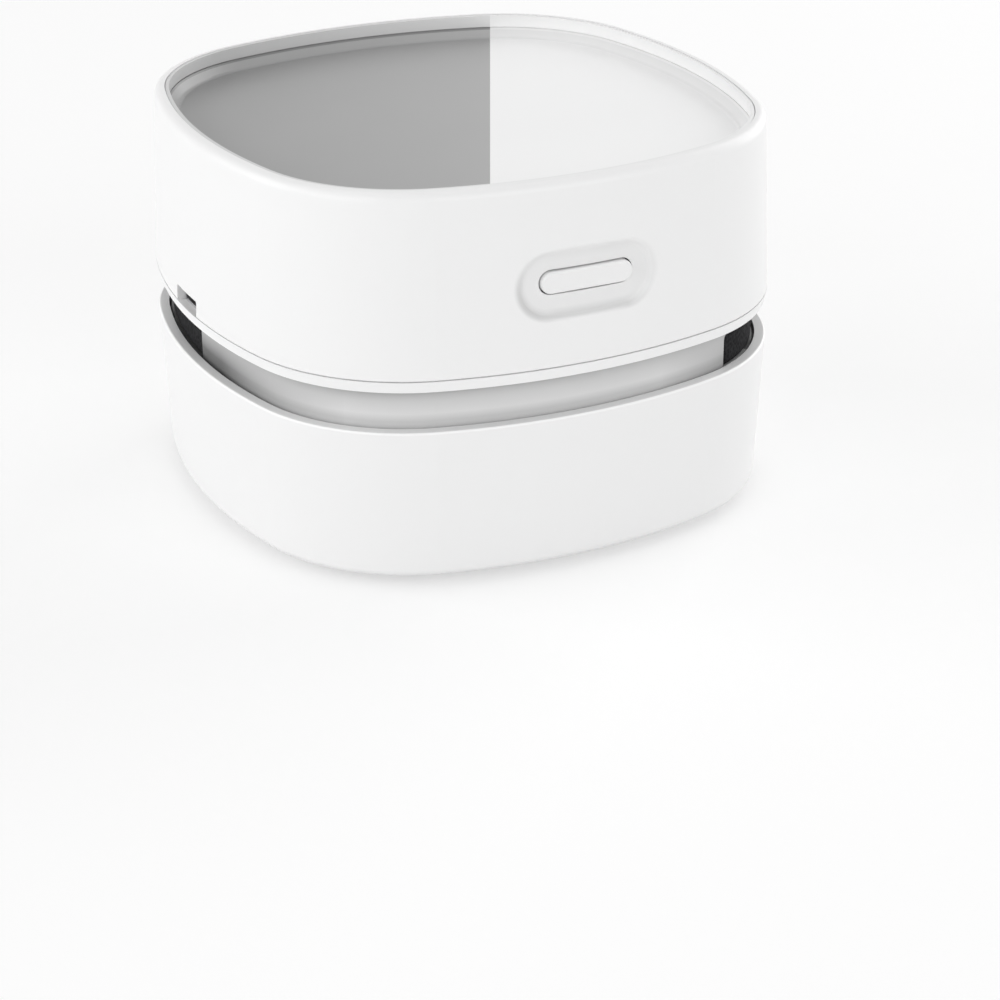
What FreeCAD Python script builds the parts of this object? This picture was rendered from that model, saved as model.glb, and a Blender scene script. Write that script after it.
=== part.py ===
"""Desktop mini vacuum cleaner: a dust bin with a motor unit that lifts off it.

Lengths are millimetres. Z points up and the desk is at z = 0. The power button is on
the -Y side and the charging port on the -X side. The origin is on the desk, under the
middle of the body. Every piece is written to parts/ as one STEP file.
"""
import FreeCAD
import Part
import math
import os
from FreeCAD import Vector

# Outline of the body in plan, at the seam of the upper shell
body_width = 86.4
side_arc_radius = 82.1
corner_arc_radius = 26.6

# Heights of the stack, from the desk up
ground_clearance = 1.5
bin_height = 22.8
air_gap_height = 5.9
band_height = 1.6
shell_height = 26.5

# How far each wall leans in over its height
bin_draft = 1.0
band_draft = 0.3
shell_draft = 1.2

# Gaps between pieces, and how far a cutting tool runs past what it cuts
seat_clearance = 0.1
running_clearance = 0.08
shaft_clearance = 0.05
parting_gap = 0.5
overrun = 2.0
same_place = 0.001

# Dust bin
bin_wall = 1.6
bin_floor_thickness = 1.8
bin_bottom_fillet = 1.3
bin_inner_fillet = 1.5
bin_rim_fillet = 0.35
rest_rib_width = 3.0
rest_rib_reach = 1.8
foot_radius = 4.0
foot_recess = 0.8
foot_edge_fillet = 0.4
foot_margin = 5.0

# Suction nozzle in the floor of the bin
slot_length = 28.0
slot_width = 8.0
nozzle_end_margin = 11.0
nozzle_side_margin = 6.0
nozzle_plate_thickness = 2.0
nozzle_plate_fillet = 0.4
duct_wall = 1.2
pad_margin = 2.0
pad_cover = 1.2
nozzle_screw_inset = 4.0
nozzle_boss_radius = 2.6
nozzle_boss_height = 3.0
tuft_radius = 0.75
tuft_pitch = 3.0
tuft_path_offset = 3.0
tuft_depth = 1.5
tuft_ground_gap = 0.3

# Filter that pulls off below the motor unit
spigot_radius = 22.0
spigot_wall = 2.0
spigot_depth = 4.0
filter_wall = 1.9
filter_lip_gap = 0.3
filter_height = 8.5
filter_free_travel = 0.8
grid_thickness = 1.0
grid_bar_width = 1.2
grid_bar_count = 5
foam_top_gap = 0.2
pull_tab_width = 12.0
pull_tab_reach = 2.6
pull_tab_height = 2.4

# Neck and deck of the motor unit
neck_inset = 2.0
neck_wall = 1.6
neck_reach = 2.5
neck_root_fillet = 0.8
lip_wall = 1.2
lip_height = 1.8
fan_floor_thickness = 1.6
inlet_radius = 11.0
spider_bar_width = 1.5
spider_thickness = 1.2
post_radius = 2.5
post_foam_gap = 2.2
seal_groove_depth = 0.8
seal_groove_height = 1.2
seal_groove_rise = 0.6
seal_bin_clearance = 0.08

# Exhaust windows at two opposite corners of the neck, and the foam behind them
window_start = 25.3
window_end = 0.5
window_sill_drop = 0.45
window_height = 5.55
window_corner = 1.3
window_lap = 3.0
foam_window_gap = 0.2
foam_face_inset = 0.4
foam_thickness = 3.4

# Upper shell
shell_wall = 1.6
rim_fillet = 1.4
seam_groove_height = 0.2
seam_groove_depth = 0.5
ledge_width = 2.4
ledge_height = 1.2
shell_boss_radius = 3.0
shell_boss_height = 7.5
shell_boss_wall_gap = 12.2
shell_boss_battery_gap = 0.2
shell_rib_width = 1.6

# Dished top: a thin ring inside the rim, and the dish under it
ring_thickness = 0.55
ring_drop = 0.1
ring_height = 2.0
ring_crease = 0.2
dish_depth = 3.5
dish_slope_width = 1.4
dish_fillet = 1.0
dish_plate_thickness = 1.2

# Power button and the dish pressed into the wall round it
button_length = 13.9
button_height = 3.15
button_level_share = 0.464
button_gap = 0.22
button_proud = 0.4
button_edge_fillet = 0.35
button_travel = 0.8
button_flange_margin = 1.4
button_flange_thickness = 1.0
button_rest_gap = 0.05
button_dish_length = 22.3
button_dish_height = 10.2
button_dish_depth = 0.4
button_dish_slope = 0.6
button_dish_fillet = 0.8
button_wall = 2.0
pad_plan_margin = 2.4

# Charging port
port_width = 8.1
port_height = 2.5
port_corner = 0.4
socket_width = 7.5
socket_height = 2.35
socket_depth = 5.6
socket_wall = 0.3
socket_recess = 1.3
socket_lip_margin = 1.0
tongue_thickness = 0.7
tongue_width = 4.6
tongue_setback = 1.0
tongue_root = 2.0

# Motor
motor_radius = 12.2
motor_dish_gap = 3.8
motor_can_wall = 0.8
motor_edge_fillet = 1.2
motor_boss_radius = 3.0
motor_boss_margin = 0.2
motor_cap_thickness = 1.4
motor_cap_boss_radius = 3.0
motor_cap_boss_height = 1.2
bearing_wall = 1.2
magnet_thickness = 1.9
magnet_rise = 1.6
magnet_cap_gap = 3.2
magnet_opening = 2.6
armature_air_gap = 0.5
armature_slot_width = 2.0
armature_hub_radius = 3.4
commutator_radius = 2.4
commutator_height = 1.8
commutator_gap = 1.0
terminal_width = 1.8
terminal_thickness = 0.4
terminal_height = 1.6
terminal_spacing = 11.0
motor_screw_spacing = 17.0

# Shaft and impeller
shaft_radius = 1.0
impeller_post_gap = 6.0
impeller_plate_thickness = 1.0
impeller_deck_gap = 1.8
impeller_blade_height = 3.2
impeller_blade_thickness = 1.0
impeller_blade_count = 9
impeller_blade_sweep = 38.0
impeller_eye_radius = 10.0
impeller_hub_radius = 4.0
impeller_hub_drop = 2.8
nut_radius = 2.2
nut_thickness = 0.6
shaft_end_length = 0.2

# Battery, its cradle and its tabs
battery_radius = 7.05
battery_length = 49.0
battery_nub_radius = 2.6
battery_nub_length = 1.0
cradle_floor = 1.2
cradle_saddle_width = 5.0
cradle_saddle_spacing = 30.0
cradle_saddle_rise = 6.0
cradle_side_margin = 0.4
tab_thickness = 0.3
tab_width = 6.0
tab_height = 9.0

# Main circuit board, lying over the charging socket
board_motor_gap = 5.2
board_boss_gap = 1.0
board_wall_gap = 0.4
board_thickness = 1.2
board_post_radius = 1.8
board_post_inset = 2.6
board_part_count = 3
board_part_gap = 0.8
chip_width = 4.0
chip_height = 1.4
coil_height = 2.4
capacitor_radius = 1.6
capacitor_height = 4.5

# Switch board in its rails, and the switch behind the button
switch_board_width = 23.0
switch_board_dish_gap = 3.8
switch_board_thickness = 1.2
switch_side = 6.0
switch_depth = 3.5
switch_cap_gap = 0.4
plunger_radius = 1.7
plunger_reach = 1.9
plunger_root = 1.0
stem_radius = 1.6
stem_length = 1.3
rail_wall = 1.2
rail_grip = 1.2
rail_drop = 2.0

# Screws: one thread and head size, with a length for each place
screw_head_radius = 1.9
screw_head_height = 1.1
screw_head_fillet = 0.4
screw_shank_radius = 1.0
screw_hole_clearance = 0.15
cross_slot_width = 0.5
cross_slot_depth = 0.6
cross_slot_length = 2.2
nozzle_screw_length = 4.6
floor_screw_length = 6.0
shell_screw_length = 7.0
motor_screw_length = 2.6
board_screw_length = 3.4

# Internal leads
lead_radius = 0.5
lead_rise = 1.6
lead_cell_gap = 0.4
lead_spread = 3.0
lead_pad_inset = 6.1
lead_bend_share = 0.45

# Levels and half widths that follow from the sizes above
body_half = body_width / 2
bin_rim_level = ground_clearance + bin_height
bin_floor_top = ground_clearance + bin_floor_thickness
band_level = bin_rim_level + air_gap_height
seam_level = band_level + band_height
rim_level = seam_level + shell_height
neck_bottom = bin_rim_level - neck_reach
fan_floor_top = neck_bottom + fan_floor_thickness
filter_top = neck_bottom - filter_lip_gap
filter_bottom = filter_top - filter_height
spigot_end = neck_bottom - spigot_depth
filter_travel = filter_top - spigot_end + filter_free_travel
duct_top = filter_bottom - filter_travel - parting_gap
nozzle_plate_top = ground_clearance + nozzle_plate_thickness
pad_top = nozzle_plate_top + pad_cover
crease_level = rim_level - ring_drop - ring_height
dish_level = rim_level - dish_depth
dish_underside = dish_level - dish_plate_thickness
button_level = seam_level + button_level_share * shell_height
motor_top = dish_underside - motor_dish_gap
battery_level = seam_level + cradle_floor + seat_clearance + battery_radius
socket_bottom = seam_level + seat_clearance
board_level = socket_bottom + socket_height
board_top = board_level + board_thickness
switch_board_top = dish_underside - switch_board_dish_gap
rail_top = switch_board_top - rail_drop
impeller_top = band_level - impeller_deck_gap
blade_top = impeller_top - impeller_plate_thickness
hub_bottom = blade_top - impeller_hub_drop
nut_bottom = hub_bottom - nut_thickness

# The corner arcs' centres are (corner_offset, corner_offset) and the side arcs'
# centres lie side_offset beyond the middle, so that each arc is tangent to the next
side_offset = side_arc_radius - body_half
arc_difference = side_arc_radius - corner_arc_radius
corner_offset = (math.sqrt(2 * arc_difference ** 2 - side_offset ** 2) - side_offset) / 2
side_turn = math.atan2(corner_offset, corner_offset + side_offset)
body_corner = corner_arc_radius + math.hypot(corner_offset, corner_offset)

# Places and sizes under the bin and in the neck that follow from the outline
nozzle_plate_length = slot_length + 2 * nozzle_end_margin
nozzle_plate_width = slot_width + 2 * nozzle_side_margin
foot_corner_distance = body_corner - bin_draft - bin_bottom_fillet - foot_margin - foot_radius
foam_corner_distance = body_corner - neck_inset - neck_wall - seat_clearance - foam_thickness
post_corner_distance = foam_corner_distance - post_foam_gap - post_radius
impeller_radius = post_corner_distance - post_radius - impeller_post_gap


def turned(x, y, quarter):
    """The point turned about the body's axis by a number of quarter turns."""
    angle = quarter * math.pi / 2
    return x * math.cos(angle) - y * math.sin(angle), x * math.sin(angle) + y * math.cos(angle)


def outline_arc(centre, radius, start, end, quarter, level):
    """One arc of the outline, through its two ends and its middle."""
    points = []
    for angle in (start, (start + end) / 2, end):
        x = centre[0] + radius * math.cos(angle)
        y = centre[1] + radius * math.sin(angle)
        points.append(Vector(*turned(x, y, quarter), level))
    return Part.Arc(*points).toShape()


def outline(half_width, level):
    """The body's rounded square at a level: four bowed sides and four round corners."""
    side_radius = side_arc_radius + half_width - body_half
    corner_radius = corner_arc_radius + half_width - body_half
    side_centre = (-side_offset, 0)
    corner_centre = (corner_offset, corner_offset)
    corner_turn = math.pi / 2 - side_turn
    edges = []
    for quarter in range(4):
        edges.append(outline_arc(side_centre, side_radius, -side_turn, side_turn, quarter, level))
        edges.append(outline_arc(corner_centre, corner_radius, side_turn, corner_turn, quarter, level))
    return Part.Wire(edges)


def bin_half(level):
    """Half width of the dust bin's outside at a level."""
    return body_half - bin_draft * (bin_rim_level - level) / bin_height


def shell_half(level):
    """Half width of the upper shell's outside at a level."""
    return body_half - shell_draft * (level - seam_level) / shell_height


def wall_at(level, across):
    """Distance of the upper shell's inner face from the middle, at a place along a side."""
    inset = body_half - shell_half(level) + shell_wall
    side_radius = side_arc_radius - inset
    if across < side_radius * math.sin(side_turn):
        return math.sqrt(side_radius ** 2 - across ** 2) - side_offset
    corner_radius = corner_arc_radius - inset
    return corner_offset + math.sqrt(corner_radius ** 2 - (across - corner_offset) ** 2)


# Places in the upper shell that follow from its wall: the cell lies midway between the
# motor and the wall, the bosses beside it, and the main board between the bosses
battery_y = (motor_radius + wall_at(battery_level, battery_length / 2)) / 2
battery_side = battery_y - battery_radius - cradle_side_margin
shell_boss_x = body_half - shell_boss_wall_gap
shell_boss_y = battery_side - shell_boss_battery_gap - shell_boss_radius
board_width = 2 * (shell_boss_y - shell_boss_radius - board_boss_gap)
board_start_x = board_wall_gap - wall_at(board_top, board_width / 2)
board_end_x = -motor_radius - board_motor_gap
board_length = board_end_x - board_start_x
part_row_length = board_length - board_post_inset - screw_head_radius - board_part_gap
part_spacing = part_row_length / board_part_count
chip_length = part_spacing - board_part_gap
coil_side = part_spacing - 2 * board_part_gap


def drafted(half_at, inset, low, high):
    """A solid inside the leaning wall that half_at gives, held in by an inset."""
    ends = [outline(half_at(level) - inset, level) for level in (low, high)]
    return Part.makeLoft(ends, True, True)


def upright(inset, low, high):
    """A straight-sided solid of the body's outline, held in by an inset."""
    face = Part.Face(outline(body_half - inset, low))
    return face.extrude(Vector(0, 0, high - low))


def upright_ring(outer_inset, inner_inset, low, high):
    """A straight-sided ring that follows the body's outline."""
    return upright(outer_inset, low, high).cut(upright(inner_inset, low - overrun, high + overrun))


def box(low, high):
    """A block between two opposite corners."""
    size = [high[axis] - low[axis] for axis in range(3)]
    return Part.makeBox(*size, Vector(*low))


def cylinder(radius, low, high, x=0, y=0):
    """An upright cylinder between two levels."""
    return Part.makeCylinder(radius, high - low, Vector(x, y, low))


def tube(outer, inner, low, high, x=0, y=0):
    """An upright tube between two levels."""
    return cylinder(outer, low, high, x, y).cut(cylinder(inner, low - overrun, high + overrun, x, y))


def stadium(length, width, x=0, y=0):
    """A flat face with two straight sides and two round ends, long in X, at z = 0."""
    radius = width / 2
    half = length / 2 - radius
    upper = Vector(x + half, y + radius, 0), Vector(x - half, y + radius, 0)
    lower = Vector(x - half, y - radius, 0), Vector(x + half, y - radius, 0)
    left = Part.Arc(upper[1], Vector(x - length / 2, y, 0), lower[0])
    right = Part.Arc(lower[1], Vector(x + length / 2, y, 0), upper[0])
    edges = [Part.LineSegment(*upper), left, Part.LineSegment(*lower), right]
    return Part.Face(Part.Wire([edge.toShape() for edge in edges]))


def flat_stadium(length, width, low, high):
    """A stadium standing up between two levels."""
    face = stadium(length, width)
    face.translate(Vector(0, 0, low))
    return face.extrude(Vector(0, 0, high - low))


def front_stadium(length, height, front, back, shrink=0):
    """A stadium facing -Y at the button's level, which may shrink towards its back."""
    ends = []
    for y, less in ((front, 0), (back, shrink)):
        wire = stadium(length - less, height - less).OuterWire
        wire.rotate(Vector(0, 0, 0), Vector(1, 0, 0), 90)
        wire.translate(Vector(0, y, button_level))
        ends.append(wire)
    return Part.makeLoft(ends, True, True)


def edges_on(shape, place):
    """The edges of a shape whose middles lie on a wire or a surface."""
    def middle(edge):
        return Part.Vertex(edge.valueAt((edge.FirstParameter + edge.LastParameter) / 2))
    return [edge for edge in shape.Edges if place.distToShape(middle(edge))[0] < same_place]


def edges_at(shape, level):
    """The edges of a shape that lie flat at one level."""
    def flat(edge):
        bounds = edge.BoundBox
        return abs(bounds.ZMin - level) < same_place and abs(bounds.ZMax - level) < same_place
    return [edge for edge in shape.Edges if flat(edge)]


def four_corners(distance):
    """Four places on the diagonals, at a distance from the middle."""
    step = distance / math.sqrt(2)
    return [(step * sx, step * sy) for sx in (-1, 1) for sy in (-1, 1)]


def shell_boss_places():
    """The four places where screws hold the upper shell to the deck."""
    return [(shell_boss_x * sx, shell_boss_y * sy) for sx in (-1, 1) for sy in (-1, 1)]


def motor_screw_places():
    """The two places where screws hold the motor to the deck."""
    return [(motor_screw_spacing / 2 * sx, 0) for sx in (-1, 1)]


def nozzle_screw_places():
    """The two places where screws hold the nozzle plate to the bin."""
    return [((nozzle_plate_length / 2 - nozzle_screw_inset) * sx, 0) for sx in (-1, 1)]


def board_screw_places():
    """The two places where screws hold the main board to its posts."""
    x = board_end_x - board_post_inset
    return [(x, (board_width / 2 - board_post_inset) * sy) for sy in (-1, 1)]


def screw(x, y, seat, length, up):
    """A pan-head screw with a cross in its head; its shank points up or down."""
    head = cylinder(screw_head_radius, 0, screw_head_height)
    rim = [edge for edge in edges_at(head, 0)]
    head = head.makeFillet(screw_head_fillet, rim)
    solid = head.fuse(cylinder(screw_shank_radius, 0, screw_head_height + length))
    for along_x, along_y in ((cross_slot_length, cross_slot_width), (cross_slot_width, cross_slot_length)):
        low = (-along_x / 2, -along_y / 2, -cross_slot_depth)
        high = (along_x / 2, along_y / 2, cross_slot_depth)
        solid = solid.cut(box(low, high))
    if up:
        solid.translate(Vector(x, y, seat - screw_head_height))
    else:
        solid.rotate(Vector(0, 0, 0), Vector(1, 0, 0), 180)
        solid.translate(Vector(x, y, seat + screw_head_height))
    return solid.removeSplitter()


def screws(places, seat, length, up):
    """One screw at each place, as separate solids of one node."""
    return Part.makeCompound([screw(x, y, seat, length, up) for x, y in places])


# Dust bin


def lower_shell():
    """The dust bin: a drafted cup with the nozzle's seat in its floor."""
    outer = drafted(bin_half, 0, ground_clearance, bin_rim_level)
    outer = outer.makeFillet(bin_bottom_fillet, edges_at(outer, ground_clearance))
    outer = outer.makeFillet(bin_rim_fillet, edges_at(outer, bin_rim_level))
    cavity = drafted(bin_half, bin_wall, bin_floor_top, bin_rim_level + overrun)
    cavity = cavity.makeFillet(bin_inner_fillet, edges_at(cavity, bin_floor_top))
    cup = outer.cut(cavity)
    for quarter in range(4):
        cup = cup.fuse(rest_rib(quarter))
    pad_length = nozzle_plate_length + 2 * pad_margin
    pad_width = nozzle_plate_width + 2 * pad_margin
    cup = cup.fuse(flat_stadium(pad_length, pad_width, ground_clearance, pad_top))
    for x, y in nozzle_screw_places():
        cup = cup.fuse(cylinder(nozzle_boss_radius, ground_clearance, pad_top + nozzle_boss_height, x, y))
    for x, y in nozzle_screw_places():
        hole_top = ground_clearance + screw_head_height + nozzle_screw_length
        cup = cup.cut(cylinder(screw_shank_radius, ground_clearance - overrun, hole_top, x, y))
    plate_length = nozzle_plate_length + 2 * seat_clearance
    plate_width = nozzle_plate_width + 2 * seat_clearance
    cup = cup.cut(flat_stadium(plate_length, plate_width, ground_clearance - overrun, nozzle_plate_top))
    duct_length = slot_length + 2 * (duct_wall + seat_clearance)
    duct_width = slot_width + 2 * (duct_wall + seat_clearance)
    cup = cup.cut(flat_stadium(duct_length, duct_width, ground_clearance - overrun, pad_top + overrun))
    for x, y in four_corners(foot_corner_distance):
        recess_top = ground_clearance + foot_recess
        cup = cup.cut(cylinder(foot_radius, ground_clearance - overrun, recess_top, x, y))
    return cup.removeSplitter()


def rest_rib(quarter):
    """An upright rib on the bin's inner wall that carries the motor unit's neck."""
    block = box(
        (0, -rest_rib_width / 2, ground_clearance + bin_floor_thickness / 2),
        (body_half, rest_rib_width / 2, neck_bottom - shaft_clearance),
    )
    block.rotate(Vector(0, 0, 0), Vector(0, 0, 1), 90 * quarter)
    near_wall = drafted(bin_half, bin_wall / 2, ground_clearance, bin_rim_level)
    hollow = drafted(bin_half, bin_wall + rest_rib_reach, ground_clearance - overrun, bin_rim_level)
    return block.common(near_wall).cut(hollow)


def rubber_feet():
    """Four round pads glued into recesses under the bin."""
    feet = []
    for x, y in four_corners(foot_corner_distance):
        foot = cylinder(foot_radius, 0, ground_clearance + foot_recess, x, y)
        feet.append(foot.makeFillet(foot_edge_fillet, edges_at(foot, 0)))
    return Part.makeCompound(feet)


def suction_duct():
    """The dark plate under the bin, with the slot and the short duct above it."""
    plate = flat_stadium(nozzle_plate_length, nozzle_plate_width, ground_clearance, nozzle_plate_top)
    plate = plate.makeFillet(nozzle_plate_fillet, edges_at(plate, ground_clearance))
    duct_length = slot_length + 2 * duct_wall
    duct_width = slot_width + 2 * duct_wall
    duct_foot = nozzle_plate_top - nozzle_plate_fillet
    duct = plate.fuse(flat_stadium(duct_length, duct_width, duct_foot, duct_top))
    duct = duct.cut(flat_stadium(slot_length, slot_width, ground_clearance - overrun, duct_top + overrun))
    for x, y in tuft_places():
        top = ground_clearance + tuft_depth
        duct = duct.cut(cylinder(tuft_radius + shaft_clearance, ground_clearance - overrun, top, x, y))
    for x, y in nozzle_screw_places():
        hole = cylinder(screw_shank_radius + screw_hole_clearance, 0, nozzle_plate_top + overrun, x, y)
        sink = cylinder(screw_head_radius + seat_clearance, 0, ground_clearance + screw_head_height, x, y)
        duct = duct.cut(hole).cut(sink)
    return duct.removeSplitter()


def tuft_places():
    """Evenly spaced places on a stadium round the slot."""
    radius = slot_width / 2 + tuft_path_offset
    straight = slot_length - slot_width
    round_length = math.pi * radius
    total = 2 * (straight + round_length)
    count = 2 * round(total / tuft_pitch / 2)
    places = []
    for number in range(count // 2):
        along = number * total / count
        if along < straight:
            x, y = straight / 2 - along, radius
        else:
            angle = (along - straight) / radius
            x, y = -straight / 2 - radius * math.sin(angle), radius * math.cos(angle)
        places += [(x, y), (-x, -y)]
    return places


def bristle_tufts():
    """Tufts of bristle standing in the holes round the slot."""
    top = ground_clearance + tuft_depth
    return Part.makeCompound([cylinder(tuft_radius, tuft_ground_gap, top, x, y) for x, y in tuft_places()])


def nozzle_screws():
    """Two screws from below, with their heads sunk in the plate."""
    return screws(nozzle_screw_places(), ground_clearance + screw_head_height, nozzle_screw_length, True)


# Filter


def filter_frame():
    """A round frame with a grid at its foot; its collar grips the spigot."""
    bore = spigot_radius + running_clearance
    outer = bore + filter_wall
    frame = tube(outer, bore, filter_bottom, filter_top)
    disc = cylinder(bore + filter_wall / 2, filter_bottom, filter_bottom + grid_thickness)
    pitch = 2 * bore / grid_bar_count
    bars = []
    for number in range(grid_bar_count):
        place = (number - (grid_bar_count - 1) / 2) * pitch
        for quarter in (0, 1):
            bar = box(
                (-outer, place - grid_bar_width / 2, filter_bottom),
                (outer, place + grid_bar_width / 2, filter_bottom + grid_thickness),
            )
            bar.rotate(Vector(0, 0, 0), Vector(0, 0, 1), 90 * quarter)
            bars.append(bar)
    grid = disc.common(bars[0].fuse(bars[1:]))
    frame = frame.fuse(grid)
    for side in (-1, 1):
        reach = (outer - filter_wall / 2, outer + pull_tab_reach)
        tab = box(
            (min(side * reach[0], side * reach[1]), -pull_tab_width / 2, filter_bottom),
            (max(side * reach[0], side * reach[1]), pull_tab_width / 2, filter_bottom + pull_tab_height),
        )
        frame = frame.fuse(tab)
    return frame.removeSplitter()


def filter_foam():
    """The washable foam disc that lies on the frame's grid."""
    radius = spigot_radius + running_clearance - seat_clearance
    return cylinder(radius, filter_bottom + grid_thickness, spigot_end - foam_top_gap - filter_free_travel)


# Motor unit: neck, deck and fan chamber


def window_region(margin, corner, outer_inset, inner_inset, bottom, top):
    """The block of one exhaust window, cut out of a ring that follows the neck."""
    ring = upright_ring(outer_inset, inner_inset, bottom, top)
    block = box(
        (window_start + margin, -body_width, bottom - overrun),
        (body_width, window_end - margin, top + overrun),
    )
    region = ring.common(block)
    if corner:
        ends = [edge for edge in edges_at(region, top) if is_window_end(edge, margin)]
        region = region.makeFillet(corner, ends)
    return region


def is_window_end(edge, margin):
    """Whether an edge lies in one of the two upright planes that end a window."""
    first, last = (vertex.Point for vertex in edge.Vertexes)
    on_front = all(abs(point.x - window_start - margin) < same_place for point in (first, last))
    on_side = all(abs(point.y - window_end + margin) < same_place for point in (first, last))
    return on_front or on_side


def half_turned(shape):
    """A copy turned half round the body's axis."""
    copy = shape.copy()
    copy.rotate(Vector(0, 0, 0), Vector(0, 0, 1), 180)
    return copy


def window_levels():
    """The bottom and the top of the windows."""
    bottom = bin_rim_level - window_sill_drop
    return bottom, bottom + window_height


def unit_base():
    """The deck with its outer band, the neck below it and the lip above it."""
    band = Part.makeLoft(
        [outline(body_half - band_draft, band_level), outline(body_half, seam_level)], True, True
    )
    base = band.fuse(upright(neck_inset, neck_bottom, band_level))
    root = outline(body_half - neck_inset, band_level)
    base = base.makeFillet(neck_root_fillet, edges_on(base, root))
    base = base.cut(upright(neck_inset + neck_wall, neck_bottom - overrun, band_level))
    bottom, top = window_levels()
    inner_inset = neck_inset + neck_wall
    window = window_region(0, window_corner, neck_inset - overrun, inner_inset + overrun, bottom, top)
    base = base.cut(window).cut(half_turned(window))
    groove_low = neck_bottom + seal_groove_rise
    groove_high = groove_low + seal_groove_height
    base = base.cut(upright_ring(0, neck_inset + seal_groove_depth, groove_low, groove_high))
    lip_inset = shell_wall + seat_clearance
    lip_foot = seam_level - band_height / 2
    base = base.fuse(upright_ring(lip_inset, lip_inset + lip_wall, lip_foot, seam_level + lip_height))
    base = base.cut(port_gap())
    base = add_deck_holes(add_deck_posts(base))
    return base.removeSplitter()


def port_gap():
    """The room that the charging socket takes out of the lip."""
    half = socket_width / 2 + socket_lip_margin
    return box((-body_half, -half, seam_level), (-body_half / 2, half, seam_level + lip_height + overrun))


def add_deck_posts(base):
    """Screw posts under the deck, board posts and board rails on top of it."""
    for x, y in four_corners(post_corner_distance):
        base = base.fuse(cylinder(post_radius, fan_floor_top, seam_level, x, y))
    for x, y in board_screw_places():
        base = base.fuse(cylinder(board_post_radius, band_level, board_level, x, y))
    for side in (-1, 1):
        base = base.fuse(board_rail(side))
    return base


def board_rail(side):
    """One upright rail with a slot that holds an end of the switch board."""
    half = switch_board_width / 2
    front = switch_board_y() - seat_clearance
    back = front + switch_board_thickness + 2 * seat_clearance
    inner, outer = half - rail_grip, half + seat_clearance + rail_wall
    rail = box(
        (inner, front - rail_wall, band_level),
        (outer, back + rail_wall, rail_top),
    )
    slot = box(
        (inner - overrun, front, seam_level),
        (half + seat_clearance, back, rail_top + overrun),
    )
    rail = rail.cut(slot)
    if side < 0:
        rail = rail.mirror(Vector(0, 0, 0), Vector(1, 0, 0))
    return rail


def add_deck_holes(base):
    """The motor's pilot hole and the holes for every screw in the deck."""
    pilot = motor_boss_radius + seat_clearance
    base = base.cut(cylinder(pilot, band_level - overrun, seam_level + overrun))
    clear = screw_shank_radius + screw_hole_clearance
    for x, y in shell_boss_places() + motor_screw_places():
        base = base.cut(cylinder(clear, band_level - overrun, seam_level + overrun, x, y))
    for x, y in four_corners(post_corner_distance):
        top = neck_bottom + floor_screw_length
        base = base.cut(cylinder(screw_shank_radius, fan_floor_top - overrun, top, x, y))
    for x, y in board_screw_places():
        bottom = board_top - board_screw_length
        base = base.cut(cylinder(screw_shank_radius, bottom, board_level + overrun, x, y))
    return base


def fan_floor():
    """The plate that closes the fan chamber, with the inlet and the filter's spigot."""
    plate = upright(neck_inset + neck_wall + seat_clearance, neck_bottom, fan_floor_top)
    spigot_top = neck_bottom + fan_floor_thickness / 2
    plate = plate.fuse(tube(spigot_radius, spigot_radius - spigot_wall, spigot_end, spigot_top))
    plate = plate.cut(cylinder(inlet_radius, neck_bottom - overrun, fan_floor_top + overrun))
    for quarter in (0, 1):
        bar = box(
            (-inlet_radius - spigot_wall, -spider_bar_width / 2, neck_bottom),
            (inlet_radius + spigot_wall, spider_bar_width / 2, neck_bottom + spider_thickness),
        )
        bar.rotate(Vector(0, 0, 0), Vector(0, 0, 1), 90 * quarter)
        plate = plate.fuse(bar)
    for x, y in four_corners(post_corner_distance):
        clear = screw_shank_radius + screw_hole_clearance
        plate = plate.cut(cylinder(clear, neck_bottom - overrun, fan_floor_top + overrun, x, y))
    return plate.removeSplitter()


def fan_floor_screws():
    """Four screws from below into the deck's posts."""
    length = floor_screw_length - seat_clearance
    return screws(four_corners(post_corner_distance), neck_bottom, length, True)


def bin_seal():
    """The rubber ring in the neck's groove that meets the bin's inner wall."""
    low = neck_bottom + seal_groove_rise + seat_clearance / 2
    high = low + seal_groove_height - seat_clearance
    inner = neck_inset + seal_groove_depth - seat_clearance / 2
    reach = bin_half(low) - bin_wall - seal_bin_clearance
    return upright_ring(body_half - reach, inner, low, high)


def exhaust_foam():
    """The foam block behind one window, with a pad that fills the window."""
    bottom, top = window_levels()
    back_inset = neck_inset + neck_wall + seat_clearance
    block_bottom = fan_floor_top + seat_clearance
    block_top = band_level - seat_clearance
    block = window_region(-window_lap, 0, back_inset, back_inset + foam_thickness, block_bottom, block_top)
    front_inset = neck_inset + foam_face_inset
    pad = window_region(
        foam_window_gap,
        window_corner - foam_window_gap,
        front_inset,
        back_inset + foam_thickness / 2,
        bottom + foam_window_gap,
        top - foam_window_gap,
    )
    return block.fuse(pad).removeSplitter()


def exhaust_foam_right():
    """The foam at the +X, -Y corner."""
    return exhaust_foam()


def exhaust_foam_left():
    """The foam at the -X, +Y corner."""
    return half_turned(exhaust_foam())


def shell_screws():
    """Four screws from the fan chamber, up through the deck into the upper shell."""
    return screws(shell_boss_places(), band_level, shell_screw_length, True)


# Motor unit: upper shell and dished top


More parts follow.
